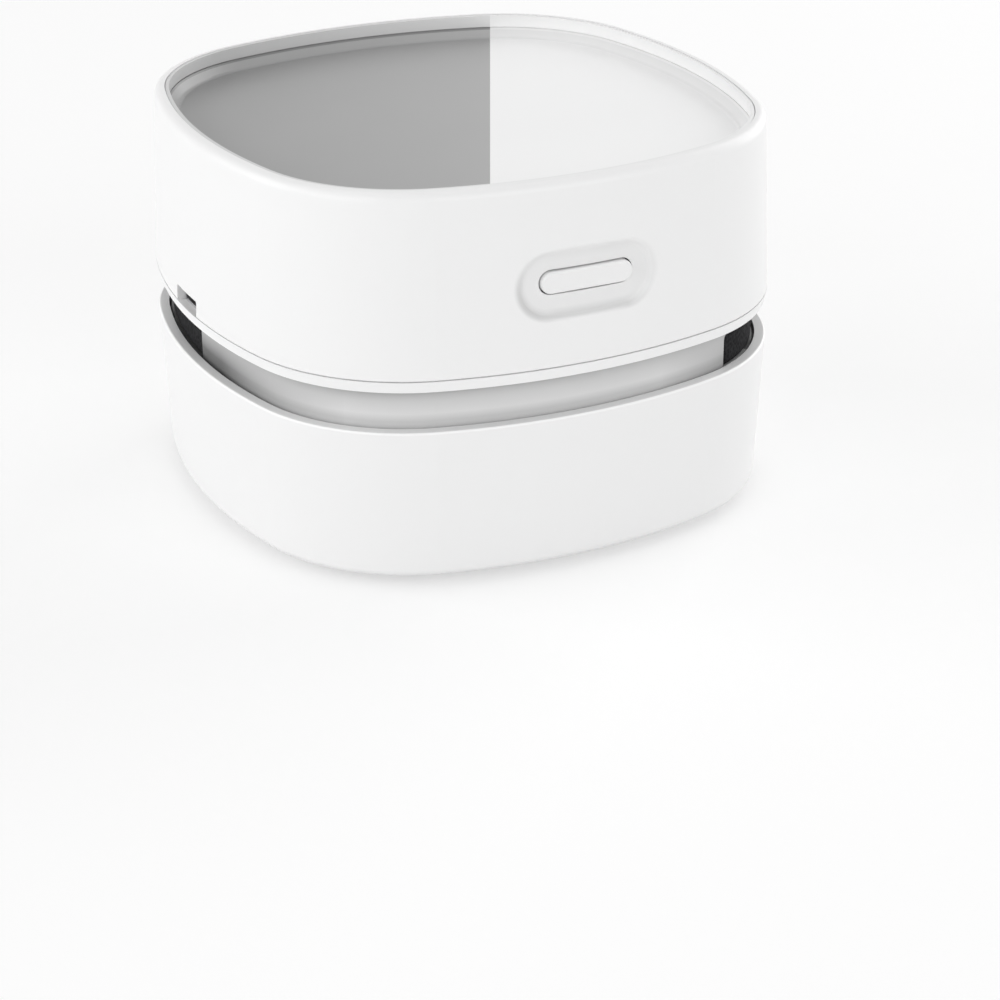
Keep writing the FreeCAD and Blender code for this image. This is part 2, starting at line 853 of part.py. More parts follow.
def upper_shell():
    """The upper shell: a drafted tube with the button's dish and the port's notch."""
    outer = drafted(shell_half, 0, seam_level, rim_level)
    outer = outer.makeFillet(rim_fillet, edges_at(outer, rim_level))
    cavity = drafted(shell_half, shell_wall, seam_level - overrun, rim_level + overrun)
    shell = outer.cut(cavity)
    shell = shell.fuse(ledge())
    shell = shell.fuse(button_pad())
    for x, y in shell_boss_places():
        shell = shell.fuse(shell_boss(x, y))
        hole_top = band_level + shell_screw_length + seat_clearance
        shell = shell.cut(cylinder(screw_shank_radius, seam_level - overrun, hole_top, x, y))
    dish = button_dish()
    shell = shell.cut(dish)
    rim = [edge for edge in edges_on(shell, outer.Shells[0]) if dish.BoundBox.isInside(edge.BoundBox)]
    shell = shell.makeFillet(button_dish_fillet, rim)
    hole_length = button_length + 2 * button_gap
    hole_height = button_height + 2 * button_gap
    shell = shell.cut(front_stadium(hole_length, hole_height, -body_half - overrun, -body_half / 2))
    groove_top = seam_level + seam_groove_height
    groove = upright_ring(-overrun, seam_groove_depth, seam_level - overrun, groove_top)
    shell = shell.cut(groove).cut(port_notch())
    return shell.removeSplitter()


def ledge():
    """The inner ledge that carries the dish."""
    low = dish_underside - ledge_height
    ring = drafted(shell_half, shell_wall / 2, low, dish_underside)
    return ring.cut(drafted(shell_half, shell_wall + ledge_width, low - overrun, dish_underside + overrun))


def pad_face():
    """Y of the flat inner face behind the button, a wall's thickness behind the dish."""
    return -shell_half(button_level) + button_dish_depth + button_wall


def button_pad():
    """The thicker wall behind the button."""
    half_length = button_dish_length / 2 + pad_plan_margin
    half_height = button_dish_height / 2 + shell_wall
    block = box(
        (-half_length, -body_half, button_level - half_height),
        (half_length, pad_face(), button_level + half_height),
    )
    return block.common(drafted(shell_half, shell_wall / 2, seam_level, rim_level - rim_fillet))


def button_dish():
    """The shallow dish in the wall: a tapered stadium whose floor follows the wall."""
    front = -body_half - overrun
    floor = -shell_half(button_level) + button_dish_depth
    # The taper is given at the wall's face and runs on at the same slope in front of it
    slope = button_dish_slope / button_dish_depth
    grown = 2 * slope * (floor - front)
    length = button_dish_length - 2 * button_dish_slope + grown
    height = button_dish_height - 2 * button_dish_slope + grown
    bow = side_arc_radius - math.sqrt(side_arc_radius ** 2 - (button_dish_length / 2) ** 2)
    back = floor + bow
    tool = front_stadium(length, height, front, back, 2 * slope * (back - front))
    keep = drafted(shell_half, button_dish_depth, seam_level - overrun, rim_level + overrun)
    tool = tool.cut(keep)
    return tool.makeFillet(button_dish_fillet, edges_on(tool, keep.Shells[0]))


def port_notch():
    """The notch for the charging port, open at the shell's lower edge."""
    low = (-body_half - overrun, -port_width / 2, seam_level - overrun)
    high = (-body_half + shell_wall + overrun, port_width / 2, seam_level + port_height)
    notch = box(low, high)
    corners = [edge for edge in edges_at(notch, high[2]) if edge.BoundBox.YLength < same_place]
    return notch.makeFillet(port_corner, corners)


def shell_boss(x, y):
    """A screw boss that stands on the deck, with a rib to the nearest wall."""
    top = seam_level + shell_boss_height
    boss = cylinder(shell_boss_radius, seam_level, top, x, y)
    side = math.copysign(1, x)
    low = (min(x, side * body_half), y - shell_rib_width / 2, seam_level + lip_height + seat_clearance)
    high = (max(x, side * body_half), y + shell_rib_width / 2, top)
    rib = box(low, high).common(drafted(shell_half, shell_wall / 2, seam_level, rim_level))
    return boss.fuse(rib)


def dish_rim_ring():
    """The thin ring inside the rim; its creased foot leaves a fine line over the dish."""
    outer = shell_wall + seat_clearance
    inner = outer + ring_thickness
    top = rim_level - ring_drop
    ring = drafted(shell_half, outer, crease_level, top)
    ring = ring.cut(drafted(shell_half, inner, crease_level - overrun, top + overrun))
    crease = drafted(shell_half, inner - ring_crease, crease_level - overrun, crease_level + ring_crease)
    return ring.cut(crease).removeSplitter()


def dish_floor():
    """The dish: a plate whose edge slopes up to the ring's foot."""
    outer = shell_wall + seat_clearance
    inner = outer + ring_thickness
    plate = drafted(shell_half, outer, dish_underside, crease_level)
    ends = [
        outline(shell_half(crease_level) - inner, crease_level),
        outline(shell_half(dish_level) - inner - dish_slope_width, dish_level),
    ]
    hollow = Part.makeLoft(ends, True, True)
    hollow = hollow.makeFillet(dish_fillet, edges_at(hollow, dish_level))
    return plate.cut(hollow).removeSplitter()


# Power button and switch


def power_button():
    """The button: a rounded face, a flange behind the wall and a stem for the switch."""
    floor = -shell_half(button_level) + button_dish_depth
    face = floor - button_proud
    flange_front = pad_face() + button_rest_gap
    flange_back = flange_front + button_flange_thickness
    body = front_stadium(button_length, button_height, face, flange_back)
    rim = [edge for edge in body.Edges if edge.BoundBox.YMax < face + same_place]
    body = body.makeFillet(button_edge_fillet, rim)
    flange_length = button_length + 2 * button_flange_margin
    flange_height = button_height + 2 * button_flange_margin
    body = body.fuse(front_stadium(flange_length, flange_height, flange_front, flange_back))
    stem = Part.makeCylinder(
        stem_radius, stem_length + button_flange_thickness / 2,
        Vector(0, flange_back - button_flange_thickness / 2, button_level), Vector(0, 1, 0),
    )
    return body.fuse(stem).removeSplitter()


def stem_end():
    """Y of the button stem's end, where it meets the switch's plunger."""
    return pad_face() + button_rest_gap + button_flange_thickness + stem_length


def switch_front():
    """Y of the front face of the switch's housing."""
    return stem_end() + plunger_reach


def switch_board_y():
    """Y of the front face of the switch board."""
    return switch_front() + switch_depth


def front_cylinder(radius, front, back):
    """A cylinder along Y at the button's middle."""
    return Part.makeCylinder(radius, back - front, Vector(0, front, button_level), Vector(0, 1, 0))


def switch_plunger():
    """The switch's plunger, which travels with the button."""
    return front_cylinder(plunger_radius, stem_end(), switch_front() + plunger_root)


def tact_switch():
    """The switch's square housing, hollow behind its plunger."""
    half = switch_side / 2
    low = (-half, switch_front(), button_level - half)
    high = (half, switch_board_y(), button_level + half)
    housing = box(low, high)
    hole_end = switch_front() + plunger_root + button_travel + switch_cap_gap
    return housing.cut(front_cylinder(plunger_radius + shaft_clearance, switch_front() - overrun, hole_end))


def switch_board():
    """The upright board that carries the switch."""
    half = switch_board_width / 2
    low = (-half, switch_board_y(), seam_level)
    high = (half, switch_board_y() + switch_board_thickness, switch_board_top)
    return box(low, high)


# Motor and impeller


def motor_can():
    """The motor's steel can, with its pilot boss through the deck."""
    can = cylinder(motor_radius, seam_level, motor_top)
    can = can.makeFillet(motor_edge_fillet, edges_at(can, seam_level))
    can = can.fuse(cylinder(motor_boss_radius, band_level + motor_boss_margin, seam_level + motor_can_wall))
    can = can.cut(cylinder(motor_radius - motor_can_wall, seam_level + motor_can_wall, motor_top + overrun))
    can = can.cut(cylinder(shaft_radius + bearing_wall, band_level - overrun, motor_top))
    for x, y in motor_screw_places():
        hole_top = seam_level + motor_can_wall + overrun
        can = can.cut(cylinder(screw_shank_radius, seam_level - overrun, hole_top, x, y))
    return can.removeSplitter()


def lower_bearing():
    """The bronze bush in the can's pilot boss."""
    low = band_level + motor_boss_margin
    high = seam_level + motor_can_wall
    return tube(shaft_radius + bearing_wall, shaft_radius + shaft_clearance, low, high)


def cap_bottom():
    """Level of the underside of the motor's end cap."""
    return motor_top - motor_cap_thickness


def motor_end_cap():
    """The plastic cap that closes the can and holds the upper bearing."""
    cap = cylinder(motor_radius - motor_can_wall, cap_bottom(), motor_top)
    cap = cap.fuse(cylinder(motor_cap_boss_radius, cap_bottom(), motor_top + motor_cap_boss_height))
    seat_top = motor_top + motor_cap_boss_height / 2
    cap = cap.cut(cylinder(shaft_radius + bearing_wall, cap_bottom() - overrun, seat_top))
    for side in (-1, 1):
        cap = cap.cut(terminal(side))
    return cap.removeSplitter()


def upper_bearing():
    """The bronze bush in the end cap."""
    top = motor_top + motor_cap_boss_height / 2
    return tube(shaft_radius + bearing_wall, shaft_radius + shaft_clearance, cap_bottom(), top)


def terminal(side):
    """One flat terminal that stands through the end cap."""
    y = side * terminal_spacing / 2
    return box(
        (-terminal_width / 2, y - terminal_thickness / 2, cap_bottom()),
        (terminal_width / 2, y + terminal_thickness / 2, motor_top + terminal_height),
    )


def motor_terminals():
    """The motor's two terminals."""
    return Part.makeCompound([terminal(side) for side in (-1, 1)])


def magnet_levels():
    """The bottom and the top of the magnets."""
    bottom = seam_level + motor_can_wall + magnet_rise
    return bottom, cap_bottom() - magnet_cap_gap


def motor_magnets():
    """Two curved magnets inside the can."""
    low, high = magnet_levels()
    outer = motor_radius - motor_can_wall - seat_clearance
    ring = tube(outer, outer - magnet_thickness, low, high)
    gap = box(
        (-motor_radius, -magnet_opening, low - overrun),
        (motor_radius, magnet_opening, high + overrun),
    )
    return Part.makeCompound(ring.cut(gap).Solids)


def motor_shaft():
    """The steel shaft, from the impeller's nut up to the upper bearing."""
    return cylinder(shaft_radius, nut_bottom - shaft_end_length, motor_top)


def motor_armature():
    """The three-pole core on the shaft."""
    low, high = magnet_levels()
    radius = motor_radius - motor_can_wall - seat_clearance - magnet_thickness - armature_air_gap
    core = tube(radius, shaft_radius, low, high)
    for number in range(3):
        slot = box(
            (armature_hub_radius, -armature_slot_width / 2, low - overrun),
            (radius + overrun, armature_slot_width / 2, high + overrun),
        )
        slot.rotate(Vector(0, 0, 0), Vector(0, 0, 1), 120 * number)
        core = core.cut(slot)
    return core.removeSplitter()


def commutator():
    """The copper ring above the core."""
    bottom = cap_bottom() - commutator_gap - commutator_height
    return tube(commutator_radius, shaft_radius, bottom, cap_bottom() - commutator_gap)


def motor_screws():
    """Two short screws from the fan chamber into the motor."""
    return screws(motor_screw_places(), band_level, motor_screw_length, True)


def impeller_blade():
    """One backward-curved blade, thick enough to stand alone."""
    reach = impeller_radius - impeller_eye_radius
    bottom = blade_top - impeller_blade_height
    points = []
    for share in (0.0, 0.5, 1.0):
        radius = impeller_eye_radius + reach * share
        angle = -math.radians(impeller_blade_sweep) * share ** 2
        points.append(Vector(radius * math.cos(angle), radius * math.sin(angle), bottom))
    arc = Part.Arc(*points).toShape().Curve
    centre, bend = arc.Center, arc.Radius
    sides = []
    for sign in (-1, 1):
        scale = (bend + sign * impeller_blade_thickness / 2) / bend
        sides.append([centre + (point - centre) * scale for point in points])
    inner, outer = sides
    edges = [
        Part.Arc(*inner).toShape(),
        Part.LineSegment(inner[2], outer[2]).toShape(),
        Part.Arc(*reversed(outer)).toShape(),
        Part.LineSegment(outer[0], inner[0]).toShape(),
    ]
    rise = impeller_blade_height + impeller_plate_thickness / 2
    blade = Part.Face(Part.Wire(edges)).extrude(Vector(0, 0, rise))
    return blade.common(cylinder(impeller_radius, 0, rim_level))


def impeller():
    """The impeller: a back plate with curved blades below it, pressed on the shaft."""
    wheel = cylinder(impeller_radius, blade_top, impeller_top)
    wheel = wheel.fuse(cylinder(impeller_hub_radius, hub_bottom, impeller_top))
    for number in range(impeller_blade_count):
        blade = impeller_blade()
        blade.rotate(Vector(0, 0, 0), Vector(0, 0, 1), 360 / impeller_blade_count * number)
        wheel = wheel.fuse(blade)
    return wheel.cut(cylinder(shaft_radius, 0, rim_level)).removeSplitter()


def push_nut():
    """The spring-steel nut that keeps the impeller on the shaft."""
    return tube(nut_radius, shaft_radius, nut_bottom, hub_bottom)


# Battery, boards and leads


def lying_cylinder(radius, start, end):
    """A cylinder along X on the battery's axis."""
    return Part.makeCylinder(radius, end - start, Vector(start, battery_y, battery_level), Vector(1, 0, 0))


def battery_cell():
    """The rechargeable cell, lying behind the motor."""
    half = battery_length / 2
    cell = lying_cylinder(battery_radius, -half, half)
    nub = lying_cylinder(battery_nub_radius, half - battery_nub_length, half + battery_nub_length)
    return cell.fuse(nub).removeSplitter()


def battery_cradle():
    """The plastic cradle: a floor and two saddles under the cell."""
    half_length = (cradle_saddle_spacing + cradle_saddle_width) / 2
    half_width = battery_radius + cradle_side_margin
    floor = box(
        (-half_length, battery_y - half_width, seam_level),
        (half_length, battery_y + half_width, seam_level + cradle_floor),
    )
    saddle_top = seam_level + cradle_floor + cradle_saddle_rise
    for side in (-1, 1):
        middle = side * cradle_saddle_spacing / 2
        saddle = box(
            (middle - cradle_saddle_width / 2, battery_y - half_width, seam_level),
            (middle + cradle_saddle_width / 2, battery_y + half_width, saddle_top),
        )
        floor = floor.fuse(saddle)
    hollow = lying_cylinder(battery_radius + seat_clearance, -battery_length, battery_length)
    return floor.cut(hollow).removeSplitter()


def battery_tabs():
    """A nickel tab on each end of the cell."""
    tabs = []
    half = battery_length / 2
    for start in (-half - tab_thickness, half + battery_nub_length):
        low = (start, battery_y - tab_width / 2, battery_level - tab_height / 2)
        high = (start + tab_thickness, battery_y + tab_width / 2, battery_level + tab_height / 2)
        tabs.append(box(low, high))
    return Part.makeCompound(tabs)


def main_board():
    """The main board, screwed to its two posts."""
    board = box(
        (board_start_x, -board_width / 2, board_level),
        (board_end_x, board_width / 2, board_top),
    )
    for x, y in board_screw_places():
        clear = screw_shank_radius + screw_hole_clearance
        board = board.cut(cylinder(clear, board_level - overrun, board_top + overrun, x, y))
    return board


def board_parts():
    """A controller chip, a coil and a capacitor on the main board."""
    first = board_start_x + part_spacing / 2
    chip = box(
        (first - chip_length / 2, -chip_width / 2, board_top),
        (first + chip_length / 2, chip_width / 2, board_top + chip_height),
    )
    second = first + part_spacing
    coil = box(
        (second - coil_side / 2, -coil_side / 2, board_top),
        (second + coil_side / 2, coil_side / 2, board_top + coil_height),
    )
    third = second + part_spacing
    capacitor = cylinder(capacitor_radius, board_top, board_top + capacitor_height, third)
    return Part.makeCompound([chip, coil, capacitor])


def board_screws():
    """Two screws down into the board's posts."""
    return screws(board_screw_places(), board_top, board_screw_length - seat_clearance, False)


def socket_front():
    """X of the charging socket's mouth, a little behind the wall's face."""
    return -shell_half(socket_bottom) + socket_recess


def socket_block(margin, start, end):
    """A block of the socket's section, held in by a margin."""
    half = socket_width / 2 - margin
    return box((start, -half, socket_bottom + margin), (end, half, board_level - margin))


def charging_socket():
    """The socket's folded steel shell, open at its mouth."""
    front = socket_front()
    shell = socket_block(0, front, front + socket_depth)
    return shell.cut(socket_block(socket_wall, front - overrun, front + socket_depth + overrun))


def socket_insulator():
    """The dark plug that fills the socket's back and carries its tongue."""
    front = socket_front()
    back = front + socket_depth
    root = socket_block(socket_wall, back - tongue_root, back)
    middle = (socket_bottom + board_level) / 2
    tongue = box(
        (front + tongue_setback, -tongue_width / 2, middle - tongue_thickness / 2),
        (back - tongue_root / 2, tongue_width / 2, middle + tongue_thickness / 2),
    )
    return root.fuse(tongue).removeSplitter()


def lead(points):
    """A round lead along straight runs joined by tangent arcs."""
    edges = []
    start = points[0]
    for before, corner, after in zip(points, points[1:], points[2:]):
        back, ahead = before - corner, after - corner
        cut = lead_bend_share * min(back.Length, ahead.Length)
        back.normalize()
        ahead.normalize()
        enter, leave = corner + back * cut, corner + ahead * cut
        half_turn = (math.pi - back.getAngle(ahead)) / 2
        radius = cut / math.tan(half_turn)
        inward = (back + ahead).normalize()
        middle = corner + inward * (math.hypot(radius, cut) - radius)
        edges.append(Part.LineSegment(start, enter).toShape())
        edges.append(Part.Arc(enter, middle, leave).toShape())
        start = leave
    edges.append(Part.LineSegment(start, points[-1]).toShape())
    path = Part.Wire(edges)
    circle = Part.makeCircle(lead_radius, points[0], points[1] - points[0])
    return path.makePipeShell([Part.Wire([circle])], True, False)


def lead_end(step, side, level):
    """A point over a lead's place in the row along one edge of the main board."""
    x = board_end_x - lead_pad_inset - lead_spread * step
    return Vector(x, side * (board_width - lead_spread) / 2, level)


def motor_leads():
    """Two leads from the motor's terminals down to the main board."""
    leads = []
    level = motor_top + terminal_height / 2
    start_x = -terminal_width / 2
    for side in (-1, 1):
        y = side * terminal_spacing / 2
        points = [Vector(start_x, y, level), Vector(start_x - lead_spread, y, level)]
        points += [lead_end(1 / 2, side, level), lead_end(1 / 2, side, board_top)]
        leads.append(lead(points))
    return Part.makeCompound(leads)


def battery_leads():
    """Two leads from the cell's tabs to the main board."""
    start_x = -battery_length / 2 - tab_thickness
    start = Vector(start_x, battery_y, battery_level)
    turn_x = start_x - lead_spread / 2
    short = [
        start,
        Vector(turn_x, battery_y, battery_level),
        lead_end(3 / 2, 1, battery_level),
        lead_end(3 / 2, 1, board_top),
    ]
    far_x = battery_length / 2 + battery_nub_length + tab_thickness
    over = battery_level + battery_radius + lead_cell_gap + lead_radius
    far = [
        Vector(far_x, battery_y, battery_level),
        Vector(far_x + lead_spread / 2, battery_y, battery_level),
        Vector(far_x + lead_spread / 2, battery_y, over),
        Vector(turn_x, battery_y, over),
        lead_end(5 / 2, 1, over),
        lead_end(5 / 2, 1, board_top),
    ]
    return Part.makeCompound([lead(short), lead(far)])


def switch_leads():
    """Two leads from the back of the switch board to the main board."""
    back = switch_board_y() + switch_board_thickness
    leads = []
    for number in (0, 1):
        start_x = -lead_spread * (2 - number)
        level = seam_level + shell_boss_height + lead_rise
        turn_y = back + lead_spread * (number + 1)
        points = [
            Vector(start_x, back, level),
            Vector(start_x, turn_y, level),
            Vector(lead_end(1 - number, -1, level).x, turn_y, level),
            lead_end(1 - number, -1, level),
            lead_end(1 - number, -1, board_top),
        ]
        leads.append(lead(points))
    return Part.makeCompound(leads)


PIECES = [
    lower_shell, rubber_feet, suction_duct, bristle_tufts, nozzle_screws,
    filter_frame, filter_foam,
    unit_base, fan_floor, fan_floor_screws, bin_seal, exhaust_foam_right, exhaust_foam_left,
    upper_shell, shell_screws, dish_rim_ring, dish_floor,
    power_button, switch_plunger, tact_switch, switch_board, switch_leads,
    motor_can, lower_bearing, motor_end_cap, upper_bearing, motor_terminals, motor_magnets,
    motor_screws, motor_leads,
    motor_shaft, motor_armature, commutator, impeller, push_nut,
    battery_cell, battery_cradle, battery_tabs, battery_leads,
    main_board, board_parts, board_screws, charging_socket, socket_insulator,
]

os.makedirs("parts", exist_ok=True)
for piece in PIECES:
    shape = piece()
    shape.exportStep(f"parts/{piece.__name__}.step")
    count = len(shape.Solids)
    print(f"{piece.__name__}: {count} solids, {shape.Volume:.1f} cubic mm, valid {shape.isValid()}")
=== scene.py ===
"""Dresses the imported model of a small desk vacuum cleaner: finishes, fine parts, stage and camera."""
import math

import bmesh
import bpy
from bpy.props import FloatProperty, FloatVectorProperty, IntProperty, PointerProperty
from mathutils import Matrix, Quaternion, Vector


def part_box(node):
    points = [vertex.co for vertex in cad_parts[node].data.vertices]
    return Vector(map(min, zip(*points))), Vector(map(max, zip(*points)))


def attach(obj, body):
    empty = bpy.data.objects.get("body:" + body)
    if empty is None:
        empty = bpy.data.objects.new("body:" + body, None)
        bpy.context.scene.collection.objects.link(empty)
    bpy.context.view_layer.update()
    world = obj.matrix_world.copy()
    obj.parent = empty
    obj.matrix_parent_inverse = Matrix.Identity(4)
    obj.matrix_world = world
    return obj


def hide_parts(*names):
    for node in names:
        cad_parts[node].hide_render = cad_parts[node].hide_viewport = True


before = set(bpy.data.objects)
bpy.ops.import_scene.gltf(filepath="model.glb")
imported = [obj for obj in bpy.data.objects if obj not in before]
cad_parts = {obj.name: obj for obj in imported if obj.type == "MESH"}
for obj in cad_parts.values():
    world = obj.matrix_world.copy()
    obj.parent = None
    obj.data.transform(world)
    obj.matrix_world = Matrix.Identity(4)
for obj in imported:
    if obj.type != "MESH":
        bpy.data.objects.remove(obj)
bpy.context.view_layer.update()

bl_info = {
    "name": "Desk Vacuum Cleaner Dressing",
    "version": (1, 0, 0),
    "blender": (4, 5, 0),
    "location": "3D View > Sidebar > Desk Vacuum",
    "description": "Finishes, fine parts, stage and camera for a small desk vacuum cleaner",
    "category": "Object",
}

MM = 0.001


# Sizes and colours that a user would change


class VacuumCamera(bpy.types.PropertyGroup):
    """Where the camera stands and how it looks."""
    position: FloatVectorProperty(
        name="Position", description="Place of the camera", subtype="TRANSLATION",
        default=(-0.155951, -0.339584, 0.172256))
    azimuth: FloatProperty(
        name="Azimuth", description="Turn of the view about the upright axis",
        subtype="ANGLE", default=math.radians(-25.652))
    elevation: FloatProperty(
        name="Elevation", description="How far the view looks down",
        subtype="ANGLE", default=math.radians(25.755))
    roll: FloatProperty(
        name="Roll", description="Turn about the view's own axis",
        subtype="ANGLE", default=math.radians(-0.108))
    lens: FloatProperty(
        name="Lens", description="Focal length on a 36 mm sensor, in millimetres", default=94.70)


class VacuumLights(bpy.types.PropertyGroup):
    """Power of the lamps and of the light from all round."""
    surround: FloatProperty(name="Surround", description="Light from all round", default=0.45)
    left_back: FloatProperty(
        name="Left back", description="Softbox behind the side with the port",
        subtype="POWER", default=5.0)
    left_front: FloatProperty(
        name="Left front", description="Softbox before the side with the port",
        subtype="POWER", default=3.1)
    front: FloatProperty(
        name="Front", description="Softbox before the button", subtype="POWER", default=4.3)
    right: FloatProperty(
        name="Right", description="Softbox on the far right", subtype="POWER", default=4.5)
    top: FloatProperty(
        name="Top", description="Softbox overhead", subtype="POWER", default=0.8)


class VacuumSizes(bpy.types.PropertyGroup):
    """Sizes of the fine detail."""
    split_turn: FloatProperty(
        name="Split turn", description="Direction across the line between the two tones of the top",
        subtype="ANGLE", default=math.radians(-25.5))
    split_offset: FloatProperty(
        name="Split offset", description="Distance of that line from the middle",
        unit="LENGTH", default=5.07 * MM)
    fade_reach: FloatProperty(
        name="Fade reach", description="Distance from the middle to where the grey side is darkest",
        unit="LENGTH", default=36.0 * MM)
    dish_bottom: FloatProperty(
        name="Dish bottom", description="Level of the floor of the dished top",
        unit="LENGTH", default=54.8 * MM)
    dish_top: FloatProperty(
        name="Dish top", description="Level of the upper edge of the ring round the dished top",
        unit="LENGTH", default=58.2 * MM)
    neck_top: FloatProperty(
        name="Neck top", description="Level at which the grey of the neck ends",
        unit="LENGTH", default=29.9 * MM)
    bin_rim: FloatProperty(
        name="Bin rim", description="Level of the rim of the bin", unit="LENGTH", default=24.3 * MM)
    port_side_end: FloatProperty(
        name="Port side end", description="Where the window ends on the side with the port",
        unit="LENGTH", default=0.5 * MM)
    port_side_fade: FloatProperty(
        name="Port side fade", description="Length over which the neck darkens on that side",
        unit="LENGTH", default=33 * MM)
    port_side_dark: FloatProperty(
        name="Port side dark", description="Length before the window where it is darkest",
        unit="LENGTH", default=8 * MM)
    button_side_end: FloatProperty(
        name="Button side end", description="Where the window ends on the side with the button",
        unit="LENGTH", default=25.3 * MM)
    button_side_fade: FloatProperty(
        name="Button side fade", description="Length over which the neck darkens on that side",
        unit="LENGTH", default=12 * MM)
    dish_level: FloatProperty(
        name="Dish level", description="Level of the middle of the shade in the button's dish",
        unit="LENGTH", default=43.65 * MM)
    dish_shift: FloatProperty(
        name="Dish shift", description="Place of the middle of that shade along X",
        unit="LENGTH", default=0.3 * MM)
    dish_half: FloatProperty(
        name="Dish half length", description="Half the straight length of the button's dish",
        unit="LENGTH", default=6.05 * MM)
    dish_radius: FloatProperty(
        name="Dish radius", description="Radius of the ends of the button's dish",
        unit="LENGTH", default=5.1 * MM)
    tuft_row: FloatProperty(
        name="Tuft row", description="Length of the straight part of a row of bristles",
        unit="LENGTH", default=20.0 * MM)
    tuft_turn: FloatProperty(
        name="Tuft turn", description="Radius of the row round each end of the slot",
        unit="LENGTH", default=7.0 * MM)
    tuft_count: IntProperty(
        name="Tufts", description="Number of tufts round the slot", default=28)
    tuft_radius: FloatProperty(
        name="Tuft radius", description="Radius of one tuft at its foot",
        unit="LENGTH", default=0.66 * MM)
    hair_count: IntProperty(
        name="Hairs", description="Number of hairs in a tuft", default=19)
    hair_radius: FloatProperty(
        name="Hair radius", description="Radius of one hair at its foot",
        unit="LENGTH", default=0.09 * MM)
    hair_splay: FloatProperty(
        name="Hair splay", description="How far the outer hairs of a tuft lean out",
        subtype="ANGLE", default=math.radians(9))
    foam_cell: FloatProperty(
        name="Foam cell", description="Size of the cells of the foam", unit="LENGTH", default=0.5 * MM)
    foam_swell: FloatProperty(
        name="Foam swell", description="How far the foam swells in its seat",
        unit="LENGTH", default=0.18 * MM)


class VacuumColours(bpy.types.PropertyGroup):
    """Colours of the outer finishes."""
    shell: FloatVectorProperty(
        name="Shell", description="White of the outer mouldings", subtype="COLOR",
        default=(0.87, 0.87, 0.87))
    window_shade: FloatVectorProperty(
        name="Window shade", description="Darkest grey of the neck, next to a window",
        subtype="COLOR", default=(0.1, 0.1, 0.1))
    button: FloatVectorProperty(
        name="Button", description="White of the power button", subtype="COLOR",
        default=(0.86, 0.86, 0.86))
    top_grey: FloatVectorProperty(
        name="Top grey", description="Grey side of the dished top", subtype="COLOR",
        default=(0.34, 0.34, 0.34))
    top_white: FloatVectorProperty(
        name="Top white", description="Pale side of the dished top", subtype="COLOR",
        default=(0.94, 0.94, 0.94))
    foam: FloatVectorProperty(
        name="Foam", description="Dark grey of the foam", subtype="COLOR",
        default=(0.017, 0.017, 0.018))
    floor: FloatVectorProperty(
        name="Floor", description="Colour of the floor", subtype="COLOR",
        default=(0.9, 0.9, 0.9))


# Node helpers


def new_finish(name, roughness, metallic=0.0):
    """A material with its node tree and main shader."""
    material = bpy.data.materials.new(name)
    material.use_nodes = True
    shader = material.node_tree.nodes["Principled BSDF"]
    shader.inputs["Roughness"].default_value = roughness
    shader.inputs["Metallic"].default_value = metallic
    return material, material.node_tree, shader


def place(tree, stretch=(1, 1, 1)):
    """The object's own coordinates, which may be stretched to draw a pattern out."""
    coordinates = tree.nodes.new("ShaderNodeTexCoord").outputs["Object"]
    if stretch == (1, 1, 1):
        return coordinates
    mapping = tree.nodes.new("ShaderNodeMapping")
    mapping.inputs["Scale"].default_value = stretch
    tree.links.new(coordinates, mapping.inputs["Vector"])
    return mapping.outputs["Vector"]


def noise(tree, scale, detail=3.0, stretch=(1, 1, 1)):
    """Soft noise, in features per metre."""
    node = tree.nodes.new("ShaderNodeTexNoise")
    node.inputs["Scale"].default_value = scale
    node.inputs["Detail"].default_value = detail
    tree.links.new(place(tree, stretch), node.inputs["Vector"])
    return node.outputs["Fac"]


def cells(tree, scale, feature="F1"):
    """Round cells, in cells per metre."""
    node = tree.nodes.new("ShaderNodeTexVoronoi")
    node.feature = feature
    node.inputs["Scale"].default_value = scale
    tree.links.new(place(tree), node.inputs["Vector"])
    return node.outputs["Distance"]


def bands(tree, scale, direction):
    """Even bands across one axis."""
    node = tree.nodes.new("ShaderNodeTexWave")
    node.bands_direction = direction
    node.inputs["Scale"].default_value = scale
    tree.links.new(place(tree), node.inputs["Vector"])
    return node.outputs["Fac"]


def between(tree, factor, low, high, start=0.0, end=1.0):
    """A value that runs from low to high while a factor runs from start to end."""
    span = tree.nodes.new("ShaderNodeMapRange")
    span.inputs["From Min"].default_value = start
    span.inputs["From Max"].default_value = end
    span.inputs["To Min"].default_value = low
    span.inputs["To Max"].default_value = high
    tree.links.new(factor, span.inputs["Value"])
    return span.outputs["Result"]


def tones(tree, factor, first, second):
    """A colour between two others, each of which may be plain or come from a node."""
    mix = tree.nodes.new("ShaderNodeMix")
    mix.data_type = "RGBA"
    for name, colour in (("A", first), ("B", second)):
        if isinstance(colour, bpy.types.NodeSocket):
            tree.links.new(colour, mix.inputs[name])
        else:
            mix.inputs[name].default_value = (*colour, 1)
    tree.links.new(factor, mix.inputs["Factor"])
    return mix.outputs["Result"]


def axis_of(tree, axis):
    """The place of the surface along X, Y or Z."""
    split = tree.nodes.new("ShaderNodeSeparateXYZ")
    tree.links.new(place(tree), split.inputs["Vector"])
    return split.outputs[axis]


def maths(tree, operation, first, second=None):
    """One sum between two values, which may be plain numbers."""
    node = tree.nodes.new("ShaderNodeMath")
    node.operation = operation
    for number, value in enumerate((first, second)):
        if isinstance(value, (int, float)):
            node.inputs[number].default_value = value
        elif value is not None:
            tree.links.new(value, node.inputs[number])
    return node.outputs["Value"]


